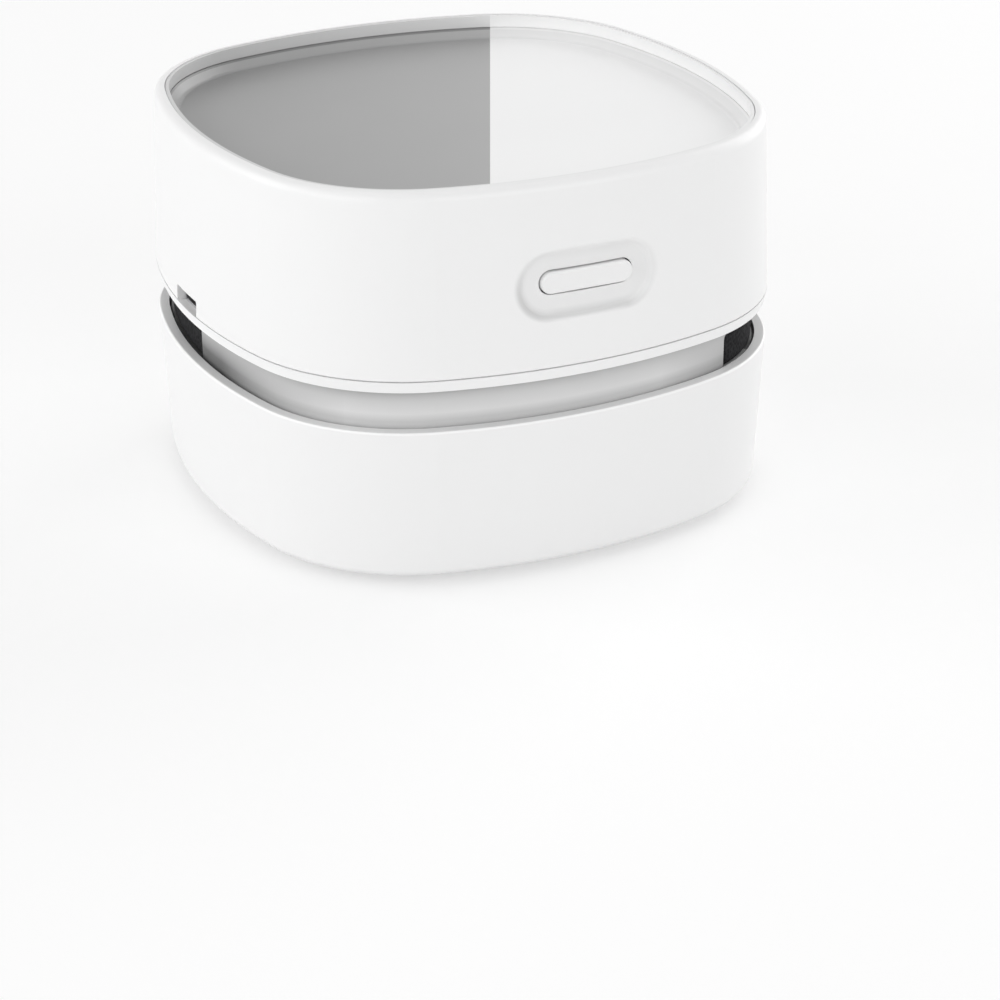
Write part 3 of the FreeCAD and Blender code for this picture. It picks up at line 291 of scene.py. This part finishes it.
def greys(tree, factor, steps):
    """Grey tones along a factor, from pairs of place and tone."""
    node = tree.nodes.new("ShaderNodeValToRGB")
    marks = node.color_ramp.elements
    marks.remove(marks[1])
    first_place, first_tone = steps[0]
    marks[0].position = first_place
    marks[0].color = (first_tone, first_tone, first_tone, 1)
    for spot, tone in steps[1:]:
        marks.new(spot).color = (tone, tone, tone, 1)
    tree.links.new(factor, node.inputs["Fac"])
    return node.outputs["Color"]


def scaled(tree, colour, factor):
    """A colour made lighter or darker by a number or a node."""
    node = tree.nodes.new("ShaderNodeVectorMath")
    node.operation = "SCALE"
    tree.links.new(colour, node.inputs[0])
    if isinstance(factor, float):
        node.inputs["Scale"].default_value = factor
    else:
        tree.links.new(factor, node.inputs["Scale"])
    return node.outputs["Vector"]


def raise_skin(tree, shader, height, depth):
    """A fine relief of a given depth from a height pattern."""
    bump = tree.nodes.new("ShaderNodeBump")
    bump.inputs["Strength"].default_value = 1.0
    bump.inputs["Distance"].default_value = depth
    tree.links.new(height, bump.inputs["Height"])
    tree.links.new(bump.outputs["Normal"], shader.inputs["Normal"])


def shade(colour, factor):
    """A colour made lighter or darker."""
    return tuple(channel * factor for channel in colour)


def colour_between(tree, shader, factor, first, second):
    """Colours the surface between two colours by a factor."""
    tree.links.new(tones(tree, factor, first, second), shader.inputs["Base Color"])


def dress(nodes, material):
    """Gives CAD nodes one finish."""
    for name in nodes:
        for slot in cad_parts[name].material_slots:
            slot.material = material


# Finishes of the outer mouldings


# Roughness of the satin-gloss mouldings, and how far it strays either way
SATIN = 0.31
SATIN_SPREAD = 0.065

# Strength of the reflections on the white shells and the button
SHELL_REFLECTION = 0.32

# Painted shade of the neck by height, from the rim of the bin up to the white band: a grey, darkest in
# a line just under the band
NECK_PAINTED_SHADE = ((0.0, 0.6), (0.16, 0.56), (0.36, 0.68), (0.68, 0.58), (0.84, 0.5), (0.95, 0.4))

# Painted shade and light on the two sides of the top by height, over floor, slope, crease and ring: on
# the grey side the crease is darker and the slope and ring lighter, on the pale side the slope and
# crease are darker
GREY_SIDE_PAINTED_SHADE = (
    (0.0, 1.0), (0.1, 1.12), (0.33, 1.2), (0.35, 0.7), (0.42, 0.7), (0.44, 2.0), (1.0, 2.2))
PALE_SIDE_PAINTED_SHADE = (
    (0.0, 1.0), (0.02, 0.84), (0.33, 0.8), (0.35, 0.86), (0.42, 0.86), (0.44, 1.0), (1.0, 0.9))


def satin_skin(tree, shader, ripple=0.0004 * MM):
    """A barely uneven gloss and the faint ripple of the mould."""
    gloss = between(tree, noise(tree, 90), SATIN * (1 - SATIN_SPREAD), SATIN * (1 + SATIN_SPREAD))
    tree.links.new(gloss, shader.inputs["Roughness"])
    raise_skin(tree, shader, noise(tree, 900, 2.0), ripple)


def gloss_moulding(name, colour, shading=None, sizes=None):
    """Satin-gloss white moulding of a barely uneven tone, which may have painted shades."""
    material, tree, shader = new_finish(name, SATIN)
    paint = tones(tree, noise(tree, 25), shade(colour, 0.99), colour)
    if shading:
        paint = scaled(tree, paint, shading(tree, sizes))
    tree.links.new(paint, shader.inputs["Base Color"])
    shader.inputs["Specular IOR Level"].default_value = SHELL_REFLECTION
    satin_skin(tree, shader)
    return material


def rim_painted_shade_and_highlight(tree, sizes):
    """A painted shade on the face and a painted highlight on the outer edge of the rim of the bin."""
    level = axis_of(tree, "Z")
    # Painted highlight: the rounded outer edge of the rim is made paler
    edge = between(tree, level, 1.0, 1.1, sizes.bin_rim - 0.4 * MM, sizes.bin_rim - 0.2 * MM)
    # Painted shade: the flat face of the rim is made greyer
    face = between(tree, level, 1.0, 0.8, sizes.bin_rim - 0.06 * MM, sizes.bin_rim - 0.03 * MM)
    return maths(tree, "MULTIPLY", edge, face)


def dish_painted_shade(tree, sizes):
    """A soft painted shade in the button's dish, deepest along its lower left edge, and fainter over
    its floor.
    """
    y = axis_of(tree, "Y")
    x = maths(tree, "SUBTRACT", axis_of(tree, "X"), sizes.dish_shift)
    up = maths(tree, "SUBTRACT", axis_of(tree, "Z"), sizes.dish_level)
    beyond = maths(tree, "SUBTRACT", maths(tree, "ABSOLUTE", x), sizes.dish_half)
    past = maths(tree, "MAXIMUM", beyond, 0)
    along = maths(tree, "MULTIPLY", past, maths(tree, "SIGN", x))
    squares = maths(tree, "ADD", maths(tree, "MULTIPLY", past, past), maths(tree, "MULTIPLY", up, up))
    reach = maths(tree, "SQRT", squares)
    edge = sizes.dish_radius
    # Painted shade in a ring along the edge of the dish
    inner = between(tree, reach, 0, 1, edge - 1.9 * MM, edge - 0.8 * MM)
    outer = between(tree, reach, 1, 0, edge - 0.5 * MM, edge + 0.1 * MM)
    ring = maths(tree, "MULTIPLY", inner, outer)
    leftwards = maths(tree, "MULTIPLY", along, -0.6)
    downwards = maths(tree, "MULTIPLY", up, -0.8)
    lean = maths(tree, "ADD", leftwards, downwards)
    depth = between(tree, lean, 0.05, 0.25, 0, edge)
    far_end = between(tree, x, 1, 0, sizes.dish_half, sizes.dish_half + 0.8 * edge)
    shaded = maths(tree, "MULTIPLY", maths(tree, "MULTIPLY", ring, depth), far_end)
    # Painted shade over the floor of the dish
    floor = between(tree, reach, 0.07, 0, edge - 0.9 * MM, edge - 0.1 * MM)
    front = maths(tree, "LESS_THAN", y, 0)
    loss = maths(tree, "MULTIPLY", maths(tree, "ADD", shaded, floor), front)
    return maths(tree, "SUBTRACT", 1, loss)


def window_painted_shade(tree, sizes):
    """Painted shade along the neck, which grows towards the end of an air window."""
    x, y = axis_of(tree, "X"), axis_of(tree, "Y")
    along_x = maths(tree, "MULTIPLY", x, maths(tree, "SIGN", maths(tree, "MULTIPLY", y, -1)))
    along_y = maths(tree, "MULTIPLY", y, maths(tree, "SIGN", maths(tree, "MULTIPLY", x, -1)))
    by_button = between(
        tree, along_x, 0, 0.45,
        sizes.button_side_end - sizes.button_side_fade, sizes.button_side_end)
    by_port = between(
        tree, along_y, 0, 1,
        sizes.port_side_end - sizes.port_side_fade, sizes.port_side_end - sizes.port_side_dark)
    port_side = maths(tree, "GREATER_THAN", maths(tree, "ABSOLUTE", x), maths(tree, "ABSOLUTE", y))
    button_side = maths(tree, "SUBTRACT", 1, port_side)
    first = maths(tree, "MULTIPLY", by_button, button_side)
    second = maths(tree, "MULTIPLY", by_port, port_side)
    return maths(tree, "ADD", first, second)


def neck_moulding(colours, sizes):
    """The motor unit's base: white band above, and the neck in painted shade, darker to its foot and
    windows.
    """
    material, tree, shader = new_finish("white_base", SATIN)
    level = axis_of(tree, "Z")
    share = between(tree, level, 0, 1, sizes.bin_rim, sizes.neck_top)
    # The neck's grey is painted shade by height
    grey = greys(tree, share, NECK_PAINTED_SHADE)
    low_down = between(tree, share, 1, 0.1, 0.3, 1.0)
    # Painted shade next to the air windows, deepest low down
    dark = maths(tree, "MULTIPLY", window_painted_shade(tree, sizes), low_down)
    grey = tones(tree, dark, grey, colours.window_shade)
    edge_blur = 0.12 * MM
    white = between(tree, level, 0, 1, sizes.neck_top - edge_blur, sizes.neck_top)
    tree.links.new(tones(tree, white, grey, colours.shell), shader.inputs["Base Color"])
    satin_skin(tree, shader)
    return material


def two_tone_top(colours, sizes):
    """The dished top: grey on one side of a straight line and pale on the other."""
    material, tree, shader = new_finish("two_tone_top", SATIN)
    across = tree.nodes.new("ShaderNodeVectorMath")
    across.operation = "DOT_PRODUCT"
    across.inputs[1].default_value = (math.cos(sizes.split_turn), math.sin(sizes.split_turn), 0)
    tree.links.new(place(tree), across.inputs[0])
    side = maths(tree, "GREATER_THAN", across.outputs["Value"], sizes.split_offset)
    streak = between(tree, noise(tree, 14, 1.0, (1, 3, 1)), 0.97, 1.03)
    share = between(tree, axis_of(tree, "Z"), 0, 1, sizes.dish_bottom, sizes.dish_top)
    fade = between(tree, across.outputs["Value"], 0.8, 1.04, -sizes.fade_reach, sizes.split_offset)
    # Painted shade and light by height over the slope, crease and ring of each side
    grey = scaled(tree, greys(tree, share, GREY_SIDE_PAINTED_SHADE), colours.top_grey[0])
    grey = scaled(tree, grey, fade)
    pale = scaled(tree, greys(tree, share, PALE_SIDE_PAINTED_SHADE), colours.top_white[0])
    paint = tones(tree, side, grey, pale)
    tree.links.new(scaled(tree, paint, streak), shader.inputs["Base Color"])
    satin_skin(tree, shader, 0.0003 * MM)
    return material


# Finishes of the inner and lower parts


def grained_moulding(name, colour, roughness, grain, depth):
    """Matte moulding with a fine spark-eroded grain."""
    material, tree, shader = new_finish(name, roughness)
    colour_between(tree, shader, noise(tree, 80), shade(colour, 0.92), shade(colour, 1.06))
    tree.links.new(between(tree, noise(tree, grain), roughness * 0.85, roughness * 1.1),
                   shader.inputs["Roughness"])
    raise_skin(tree, shader, noise(tree, grain, 2.0), depth)
    return material


def open_foam(colour, cell):
    """Open-cell foam: small dark pores between paler struts."""
    material, tree, shader = new_finish("dark_foam", 0.95)
    pores = cells(tree, 1 / cell)
    struts = between(tree, pores, 0, 1, 0.1, 0.7)
    colour_between(tree, shader, struts, shade(colour, 0.5), shade(colour, 1.4))
    raise_skin(tree, shader, pores, 0.08 * MM)
    shader.inputs["Specular IOR Level"].default_value = 0.1
    return material


def nylon_hair():
    """Nylon hair: dark and silky, drawn out along its length."""
    material, tree, shader = new_finish("bristle", 0.35)
    grain = noise(tree, 3000, 2.0, (1, 1, 0.1))
    colour_between(tree, shader, grain, (0.03, 0.03, 0.03), (0.11, 0.11, 0.115))
    shader.inputs["Sheen Weight"].default_value = 0.3
    return material


def soft_rubber():
    """Moulded rubber with a dusty, fine-grained skin."""
    material, tree, shader = new_finish("soft_rubber", 0.75)
    colour_between(tree, shader, noise(tree, 400), (0.085, 0.085, 0.086), (0.13, 0.13, 0.13))
    tree.links.new(between(tree, noise(tree, 2500), 0.65, 0.85), shader.inputs["Roughness"])
    raise_skin(tree, shader, noise(tree, 2500), 0.012 * MM)
    return material


def worked_metal(name, colour, roughness, scale, stretch, depth):
    """Metal whose tool marks are drawn out along one way."""
    material, tree, shader = new_finish(name, roughness, 1.0)
    marks = noise(tree, scale, 4.0, stretch)
    colour_between(tree, shader, marks, shade(colour, 0.88), shade(colour, 1.04))
    tree.links.new(between(tree, marks, roughness * 0.75, roughness * 1.3), shader.inputs["Roughness"])
    raise_skin(tree, shader, marks, depth)
    return material


def sintered_bronze():
    """Pressed bronze powder, with oil-dark pores."""
    material, tree, shader = new_finish("bronze", 0.42, 1.0)
    pores = between(tree, noise(tree, 4500), 0, 1, 0.35, 0.6)
    colour_between(tree, shader, pores, (0.28, 0.18, 0.08), (0.62, 0.43, 0.21))
    raise_skin(tree, shader, pores, 0.008 * MM)
    return material


def copper_segments():
    """Commutator copper, polished by its brushes into fine rings."""
    material, tree, shader = new_finish("copper", 0.3, 1.0)
    rings = bands(tree, 2200, "Z")
    colour_between(tree, shader, rings, (0.62, 0.3, 0.16), (0.85, 0.47, 0.29))
    raise_skin(tree, shader, rings, 0.004 * MM)
    return material


def ferrite():
    """Dark sintered magnet with a gritty break."""
    material, tree, shader = new_finish("ferrite", 0.7)
    grit = noise(tree, 2800, 5.0)
    colour_between(tree, shader, grit, (0.07, 0.07, 0.075), (0.17, 0.17, 0.175))
    raise_skin(tree, shader, grit, 0.02 * MM)
    return material


def laminated_core():
    """Stacked sheets of core steel, seen as fine level bands."""
    material, tree, shader = new_finish("core_iron", 0.5, 1.0)
    sheets = bands(tree, 800, "Z")
    colour_between(tree, shader, sheets, (0.16, 0.16, 0.165), (0.4, 0.4, 0.41))
    raise_skin(tree, shader, sheets, 0.03 * MM)
    return material


def shrink_film():
    """The cell's shrunk film: glossy, with slight wrinkles along it."""
    material, tree, shader = new_finish("cell_wrap", 0.25)
    wrinkles = noise(tree, 260, 2.0, (0.25, 1, 1))
    colour_between(tree, shader, wrinkles, (0.09, 0.22, 0.42), (0.15, 0.34, 0.58))
    raise_skin(tree, shader, wrinkles, 0.03 * MM)
    shader.inputs["Coat Weight"].default_value = 0.4
    return material


def solder_mask():
    """Green circuit board, with paler tracks under its lacquer."""
    material, tree, shader = new_finish("green_board", 0.3)
    tracks = tree.nodes.new("ShaderNodeTexBrick")
    tracks.inputs["Scale"].default_value = 160
    tracks.inputs["Mortar Size"].default_value = 0.03
    tracks.inputs["Color1"].default_value = (0.02, 0.17, 0.07, 1)
    tracks.inputs["Color2"].default_value = (0.025, 0.21, 0.09, 1)
    tracks.inputs["Mortar"].default_value = (0.07, 0.36, 0.17, 1)
    tree.links.new(place(tree), tracks.inputs["Vector"])
    tree.links.new(tracks.outputs["Color"], shader.inputs["Base Color"])
    raise_skin(tree, shader, tracks.outputs["Fac"], 0.02 * MM)
    return material


def lead_sleeve():
    """Soft sleeve of the inner leads."""
    material, tree, shader = new_finish("lead_sleeve", 0.45)
    colour_between(tree, shader, noise(tree, 500), (0.42, 0.03, 0.025), (0.56, 0.06, 0.05))
    raise_skin(tree, shader, noise(tree, 1800), 0.006 * MM)
    return material


# Building steps


class AddVacuumCamera(bpy.types.Operator):
    """Places the camera at the chosen view"""
    bl_idname = "vacuum.add_camera"
    bl_label = "Add Camera"

    def execute(self, context):
        settings = context.scene.vacuum_camera
        lens = bpy.data.cameras.new("camera")
        lens.lens = settings.lens
        lens.clip_start = 0.01
        lens.clip_end = 20
        camera = bpy.data.objects.new("camera", lens)
        context.scene.collection.objects.link(camera)
        flat = math.cos(settings.elevation)
        forward = Vector((
            -math.sin(settings.azimuth) * flat,
            math.cos(settings.azimuth) * flat,
            -math.sin(settings.elevation)))
        turn = forward.to_track_quat("-Z", "Y") @ Quaternion((0, 0, 1), settings.roll)
        camera.rotation_mode = "QUATERNION"
        camera.rotation_quaternion = turn
        camera.location = settings.position
        context.scene.camera = camera
        return {"FINISHED"}


class BuildStage(bpy.types.Operator):
    """Lays the floor and hangs the lamps"""
    bl_idname = "vacuum.build_stage"
    bl_label = "Build Stage"

    def execute(self, context):
        scene = context.scene
        scene.view_settings.view_transform = "Standard"
        mesh = bmesh.new()
        bmesh.ops.create_grid(mesh, x_segments=1, y_segments=1, size=3)
        floor = add_object("floor", mesh)
        floor.data.materials.append(floor_finish(scene.vacuum_colours.floor))
        lights = scene.vacuum_lights
        light_world(scene, lights.surround)
        lamp(scene, "left_back_softbox", (-1.0, 0.45, 0.38), (0.8, 0.9), lights.left_back)
        lamp(scene, "left_front_softbox", (-0.95, -0.45, 0.38), (0.8, 0.9), lights.left_front)
        lamp(scene, "front_softbox", (0.3, -1.1, 0.45), (1.0, 0.7), lights.front)
        lamp(scene, "right_softbox", (0.88, 0.24, 0.4), (0.8, 0.9), lights.right)
        lamp(scene, "top_softbox", (0.1, 0.2, 1.1), (0.8, 0.8), lights.top)
        return {"FINISHED"}


def add_object(name, mesh):
    """Turns a finished bmesh into an object in the scene."""
    data = bpy.data.meshes.new(name)
    mesh.to_mesh(data)
    mesh.free()
    item = bpy.data.objects.new(name, data)
    bpy.context.scene.collection.objects.link(item)
    return item


def lamp(scene, name, position, size, power):
    """A soft rectangular lamp that looks at the middle of the body."""
    data = bpy.data.lights.new(name, "AREA")
    data.shape = "RECTANGLE"
    data.size, data.size_y = size
    data.energy = power
    light = bpy.data.objects.new(name, data)
    light.location = position
    light.rotation_mode = "QUATERNION"
    middle = Vector((0, 0, 30 * MM))
    light.rotation_quaternion = (middle - Vector(position)).to_track_quat("-Z", "Y")
    scene.collection.objects.link(light)


def seen_directly(tree):
    """One for rays from the camera, reflections and glass, and zero for the light itself."""
    path = tree.nodes.new("ShaderNodeLightPath")
    total = path.outputs["Is Camera Ray"]
    for name in ("Is Glossy Ray", "Is Transmission Ray"):
        total = maths(tree, "MAXIMUM", total, path.outputs[name])
    return total


def floor_finish(colour):
    """Pale floor that shows as white away from the object's shadow, and nothing from below."""
    material = bpy.data.materials.new("floor")
    material.use_nodes = True
    tree = material.node_tree
    tree.nodes.clear()
    out = tree.nodes.new("ShaderNodeOutputMaterial")
    matte = tree.nodes.new("ShaderNodeBsdfDiffuse")
    tree.links.new(tones(tree, noise(tree, 3), shade(colour, 0.995), colour), matte.inputs["Color"])
    glow = tree.nodes.new("ShaderNodeEmission")
    reach = tree.nodes.new("ShaderNodeVectorMath")
    reach.operation = "LENGTH"
    tree.links.new(place(tree), reach.inputs[0])
    distance = reach.outputs["Value"]
    near = 0.3
    far = 0.9
    tree.links.new(between(tree, distance, 1.18, 1.0, near, far), glow.inputs["Strength"])
    share = between(tree, distance, 0.42, 1.0, near, far)
    lift = tree.nodes.new("ShaderNodeMixShader")
    tree.links.new(maths(tree, "MULTIPLY", share, seen_directly(tree)), lift.inputs["Fac"])
    tree.links.new(matte.outputs["BSDF"], lift.inputs[1])
    tree.links.new(glow.outputs["Emission"], lift.inputs[2])
    geometry = tree.nodes.new("ShaderNodeNewGeometry")
    clear = tree.nodes.new("ShaderNodeBsdfTransparent")
    sides = tree.nodes.new("ShaderNodeMixShader")
    tree.links.new(geometry.outputs["Backfacing"], sides.inputs["Fac"])
    tree.links.new(lift.outputs["Shader"], sides.inputs[1])
    tree.links.new(clear.outputs["BSDF"], sides.inputs[2])
    tree.links.new(sides.outputs["Shader"], out.inputs["Surface"])
    return material


def light_world(scene, surround):
    """Even pale light from all round, shown as white."""
    world = bpy.data.worlds.new("studio")
    world.use_nodes = True
    tree = world.node_tree
    back = tree.nodes["Background"]
    back.inputs["Color"].default_value = (1, 1, 1, 1)
    tree.links.new(between(tree, seen_directly(tree), surround, 1.0), back.inputs["Strength"])
    scene.world = world


class DressOuterShell(bpy.types.Operator):
    """Finishes the white mouldings, the button and the two-tone top"""
    bl_idname = "vacuum.dress_outer_shell"
    bl_label = "Dress Outer Shell"

    def execute(self, context):
        colours = context.scene.vacuum_colours
        sizes = context.scene.vacuum_sizes
        dress(("upper_shell",), gloss_moulding("white_upper", colours.shell, dish_painted_shade, sizes))
        dress(("lower_shell",), gloss_moulding("white_lower", colours.shell, rim_painted_shade_and_highlight, sizes))
        dress(("power_button",), gloss_moulding("white_button", colours.button))
        dress(("unit_base",), neck_moulding(colours, sizes))
        dress(("dish_rim_ring", "dish_floor"), two_tone_top(colours, sizes))
        return {"FINISHED"}


class DressInnerParts(bpy.types.Operator):
    """Finishes the inner mouldings, rubber and the nozzle"""
    bl_idname = "vacuum.dress_inner_parts"
    bl_label = "Dress Inner Parts"

    def execute(self, context):
        pale = grained_moulding("inner_plastic", (0.78, 0.78, 0.77), 0.55, 2200, 0.006 * MM)
        dress(("fan_floor", "battery_cradle", "impeller", "motor_end_cap"), pale)
        dark = grained_moulding("dark_plastic", (0.035, 0.035, 0.037), 0.5, 3000, 0.01 * MM)
        dress(("suction_duct", "filter_frame", "tact_switch"), dark)
        dress(("socket_insulator", "switch_plunger"), dark)
        dress(("rubber_feet", "bin_seal"), soft_rubber())
        return {"FINISHED"}


class DressMetal(bpy.types.Operator):
    """Finishes the screws, motor and contacts"""
    bl_idname = "vacuum.dress_metal"
    bl_label = "Dress Metal"

    def execute(self, context):
        zinc = worked_metal("screw_steel", (0.6, 0.6, 0.61), 0.32, 1800, (1, 1, 0.2), 0.006 * MM)
        dress(("nozzle_screws", "fan_floor_screws", "shell_screws"), zinc)
        dress(("motor_screws", "board_screws", "motor_shaft", "push_nut"), zinc)
        can = worked_metal("can_steel", (0.66, 0.66, 0.67), 0.28, 1200, (0.15, 0.15, 1), 0.004 * MM)
        dress(("motor_can", "charging_socket"), can)
        dress(("lower_bearing", "upper_bearing"), sintered_bronze())
        brass = worked_metal("brass_contact", (0.8, 0.6, 0.26), 0.25, 2400, (0.3, 1, 1), 0.003 * MM)
        dress(("motor_terminals",), brass)
        dress(("commutator",), copper_segments())
        dress(("motor_magnets",), ferrite())
        dress(("motor_armature",), laminated_core())
        nickel = worked_metal("nickel", (0.7, 0.68, 0.64), 0.3, 1500, (1, 0.2, 1), 0.004 * MM)
        dress(("battery_tabs",), nickel)
        return {"FINISHED"}


class DressElectrics(bpy.types.Operator):
    """Finishes the cell, boards and leads"""
    bl_idname = "vacuum.dress_electrics"
    bl_label = "Dress Electrics"

    def execute(self, context):
        dress(("battery_cell",), shrink_film())
        dress(("main_board", "switch_board"), solder_mask())
        parts = grained_moulding("board_part", (0.08, 0.08, 0.085), 0.45, 3500, 0.006 * MM)
        dress(("board_parts",), parts)
        dress(("switch_leads", "motor_leads", "battery_leads"), lead_sleeve())
        return {"FINISHED"}


# Modelled pieces


def settle(item, body, slot, finish, *nodes):
    """Gives a new piece its finish and its body, and hides the CAD nodes it stands for."""
    item.data.materials.append(finish)
    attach(item, body)
    if nodes:
        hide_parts(*nodes)


def tuft_places(sizes):
    """Evenly spaced places on a rounded loop about the slot."""
    half = sizes.tuft_row / 2
    total = 2 * (sizes.tuft_row + math.pi * sizes.tuft_turn)
    places = []
    for number in range(sizes.tuft_count // 2):
        along = number * total / sizes.tuft_count
        if along < sizes.tuft_row:
            spot = Vector((half - along, sizes.tuft_turn, 0))
        else:
            angle = (along - sizes.tuft_row) / sizes.tuft_turn
            round_end = Vector((-math.sin(angle), math.cos(angle), 0)) * sizes.tuft_turn
            spot = round_end - Vector((half, 0, 0))
        places += [spot, -spot]
    return places


class PlantBristles(bpy.types.Operator):
    """Plants a tuft of fine hairs in each hole round the slot"""
    bl_idname = "vacuum.plant_bristles"
    bl_label = "Plant Bristles"

    def execute(self, context):
        sizes = context.scene.vacuum_sizes
        low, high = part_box("bristle_tufts")
        mesh = bmesh.new()
        golden = math.radians(137.5)
        for tuft, spot in enumerate(tuft_places(sizes)):
            for hair in range(sizes.hair_count):
                share = math.sqrt((hair + 0.5) / sizes.hair_count)
                angle = golden * hair + tuft
                out = Vector((math.cos(angle), math.sin(angle), 0)) * share
                length = (high[2] - low[2]) * (1 - 0.05 * ((hair * 7 + tuft * 3) % 4))
                foot = spot + out * (sizes.tuft_radius - sizes.hair_radius)
                add_hair(mesh, foot, out, length, high[2], sizes)
        bristles = add_object("bristle_hairs", mesh)
        settle(bristles, "dust_bin", "bristle", nylon_hair(), "bristle_tufts")
        return {"FINISHED"}


def add_hair(mesh, foot, out, length, top, sizes):
    """One tapered hair that hangs from its foot and leans outwards."""
    hanging = Matrix.Translation((0, 0, -length / 2))
    lean = Quaternion((-out.y, out.x, 0), -sizes.hair_splay * out.length).to_matrix().to_4x4()
    place_at = Matrix.Translation((foot.x, foot.y, top))
    bmesh.ops.create_cone(
        mesh, cap_ends=True, segments=5, depth=length,
        radius1=sizes.hair_radius * 0.7, radius2=sizes.hair_radius,
        matrix=place_at @ lean @ hanging)


def foam_piece(name, node, body, grid, swell, finish):
    """A soft foam block, softened and swollen from the plain solid it stands for."""
    mesh = bmesh.new()
    mesh.from_mesh(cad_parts[node].data)
    bmesh.ops.remove_doubles(mesh, verts=mesh.verts, dist=0.001 * MM)
    foam = add_object(name, mesh)
    remesh = foam.modifiers.new("even skin", "REMESH")
    remesh.mode = "VOXEL"
    remesh.voxel_size = grid
    remesh.use_smooth_shade = True
    soften = foam.modifiers.new("soft edges", "SMOOTH")
    soften.factor = 0.5
    soften.iterations = 1
    puff = foam.modifiers.new("swell", "DISPLACE")
    puff.strength = swell
    puff.mid_level = 0
    settle(foam, body, "dark_foam", finish, node)


class FitFoam(bpy.types.Operator):
    """Fits the foam in the two exhaust windows and in the filter"""
    bl_idname = "vacuum.fit_foam"
    bl_label = "Fit Foam"

    def execute(self, context):
        sizes = context.scene.vacuum_sizes
        finish = open_foam(context.scene.vacuum_colours.foam, sizes.foam_cell)
        grid = 0.3 * MM
        disc_grid = 0.45 * MM
        disc_swell = 0.05 * MM
        for side in ("right", "left"):
            foam_piece("window_foam_" + side, "exhaust_foam_" + side, "motor_unit", grid,
                       sizes.foam_swell, finish)
        foam_piece("filter_disc", "filter_foam", "filter", disc_grid, disc_swell, finish)
        return {"FINISHED"}


class AddSocketContacts(bpy.types.Operator):
    """Lays the row of contact strips on the tongue of the charging socket"""
    bl_idname = "vacuum.add_socket_contacts"
    bl_label = "Add Socket Contacts"

    def execute(self, context):
        low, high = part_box("socket_insulator")
        middle = (low[2] + high[2]) / 2
        mesh = bmesh.new()
        strips_per_side = 5
        pitch = 0.8 * MM
        half_tongue = 0.36 * MM
        strip_start = 1.4 * MM
        size = Matrix.Diagonal((2.2 * MM, 0.35 * MM, 0.08 * MM, 1))
        for number in range(strips_per_side):
            for side in (-1, 1):
                across = (number - strips_per_side // 2) * pitch
                level = middle + side * half_tongue
                spot = Matrix.Translation((low[0] + strip_start, across, level))
                bmesh.ops.create_cube(mesh, size=1, matrix=spot @ size)
        bmesh.ops.bevel(mesh, geom=mesh.edges[:], offset=0.025 * MM, offset_type="OFFSET",
                        affect="EDGES", segments=2, profile=0.5, material=-1)
        strips = add_object("socket_contacts", mesh)
        brass = worked_metal("contact_gilt", (0.85, 0.66, 0.3), 0.22, 2400, (0.3, 1, 1), 0.002 * MM)
        settle(strips, "motor_unit", "brass_contact", brass)
        return {"FINISHED"}


class VacuumPanel(bpy.types.Panel):
    """Sizes, colours and building steps"""
    bl_idname = "VIEW3D_PT_vacuum"
    bl_label = "Desk Vacuum"
    bl_space_type = "VIEW_3D"
    bl_region_type = "UI"
    bl_category = "Desk Vacuum"

    def draw(self, context):
        for name in GROUPS:
            group = getattr(context.scene, name)
            for setting in group.bl_rna.properties.keys():
                if setting not in ("rna_type", "name"):
                    self.layout.prop(group, setting)
        for step in STEPS:
            self.layout.operator(step.bl_idname)


GROUPS = {
    "vacuum_camera": VacuumCamera,
    "vacuum_lights": VacuumLights,
    "vacuum_sizes": VacuumSizes,
    "vacuum_colours": VacuumColours,
}
STEPS = (
    AddVacuumCamera, BuildStage, DressOuterShell, DressInnerParts, DressMetal, DressElectrics,
    PlantBristles, FitFoam, AddSocketContacts,
)


def register():
    """Makes the settings, steps and panel known."""
    for group in GROUPS.values():
        bpy.utils.register_class(group)
    for name, group in GROUPS.items():
        setattr(bpy.types.Scene, name, PointerProperty(type=group))
    for step in STEPS:
        bpy.utils.register_class(step)
    bpy.utils.register_class(VacuumPanel)


def unregister():
    """Takes the panel, steps and settings away again."""
    bpy.utils.unregister_class(VacuumPanel)
    for step in reversed(STEPS):
        bpy.utils.unregister_class(step)
    for name in GROUPS:
        delattr(bpy.types.Scene, name)
    for group in reversed(list(GROUPS.values())):
        bpy.utils.unregister_class(group)


def main():
    """Registers the classes and runs the steps in order."""
    register()
    bpy.ops.vacuum.add_camera()
    bpy.ops.vacuum.build_stage()
    bpy.ops.vacuum.dress_outer_shell()
    bpy.ops.vacuum.dress_inner_parts()
    bpy.ops.vacuum.dress_metal()
    bpy.ops.vacuum.dress_electrics()
    bpy.ops.vacuum.plant_bristles()
    bpy.ops.vacuum.fit_foam()
    bpy.ops.vacuum.add_socket_contacts()


if __name__ == "__main__":
    main()
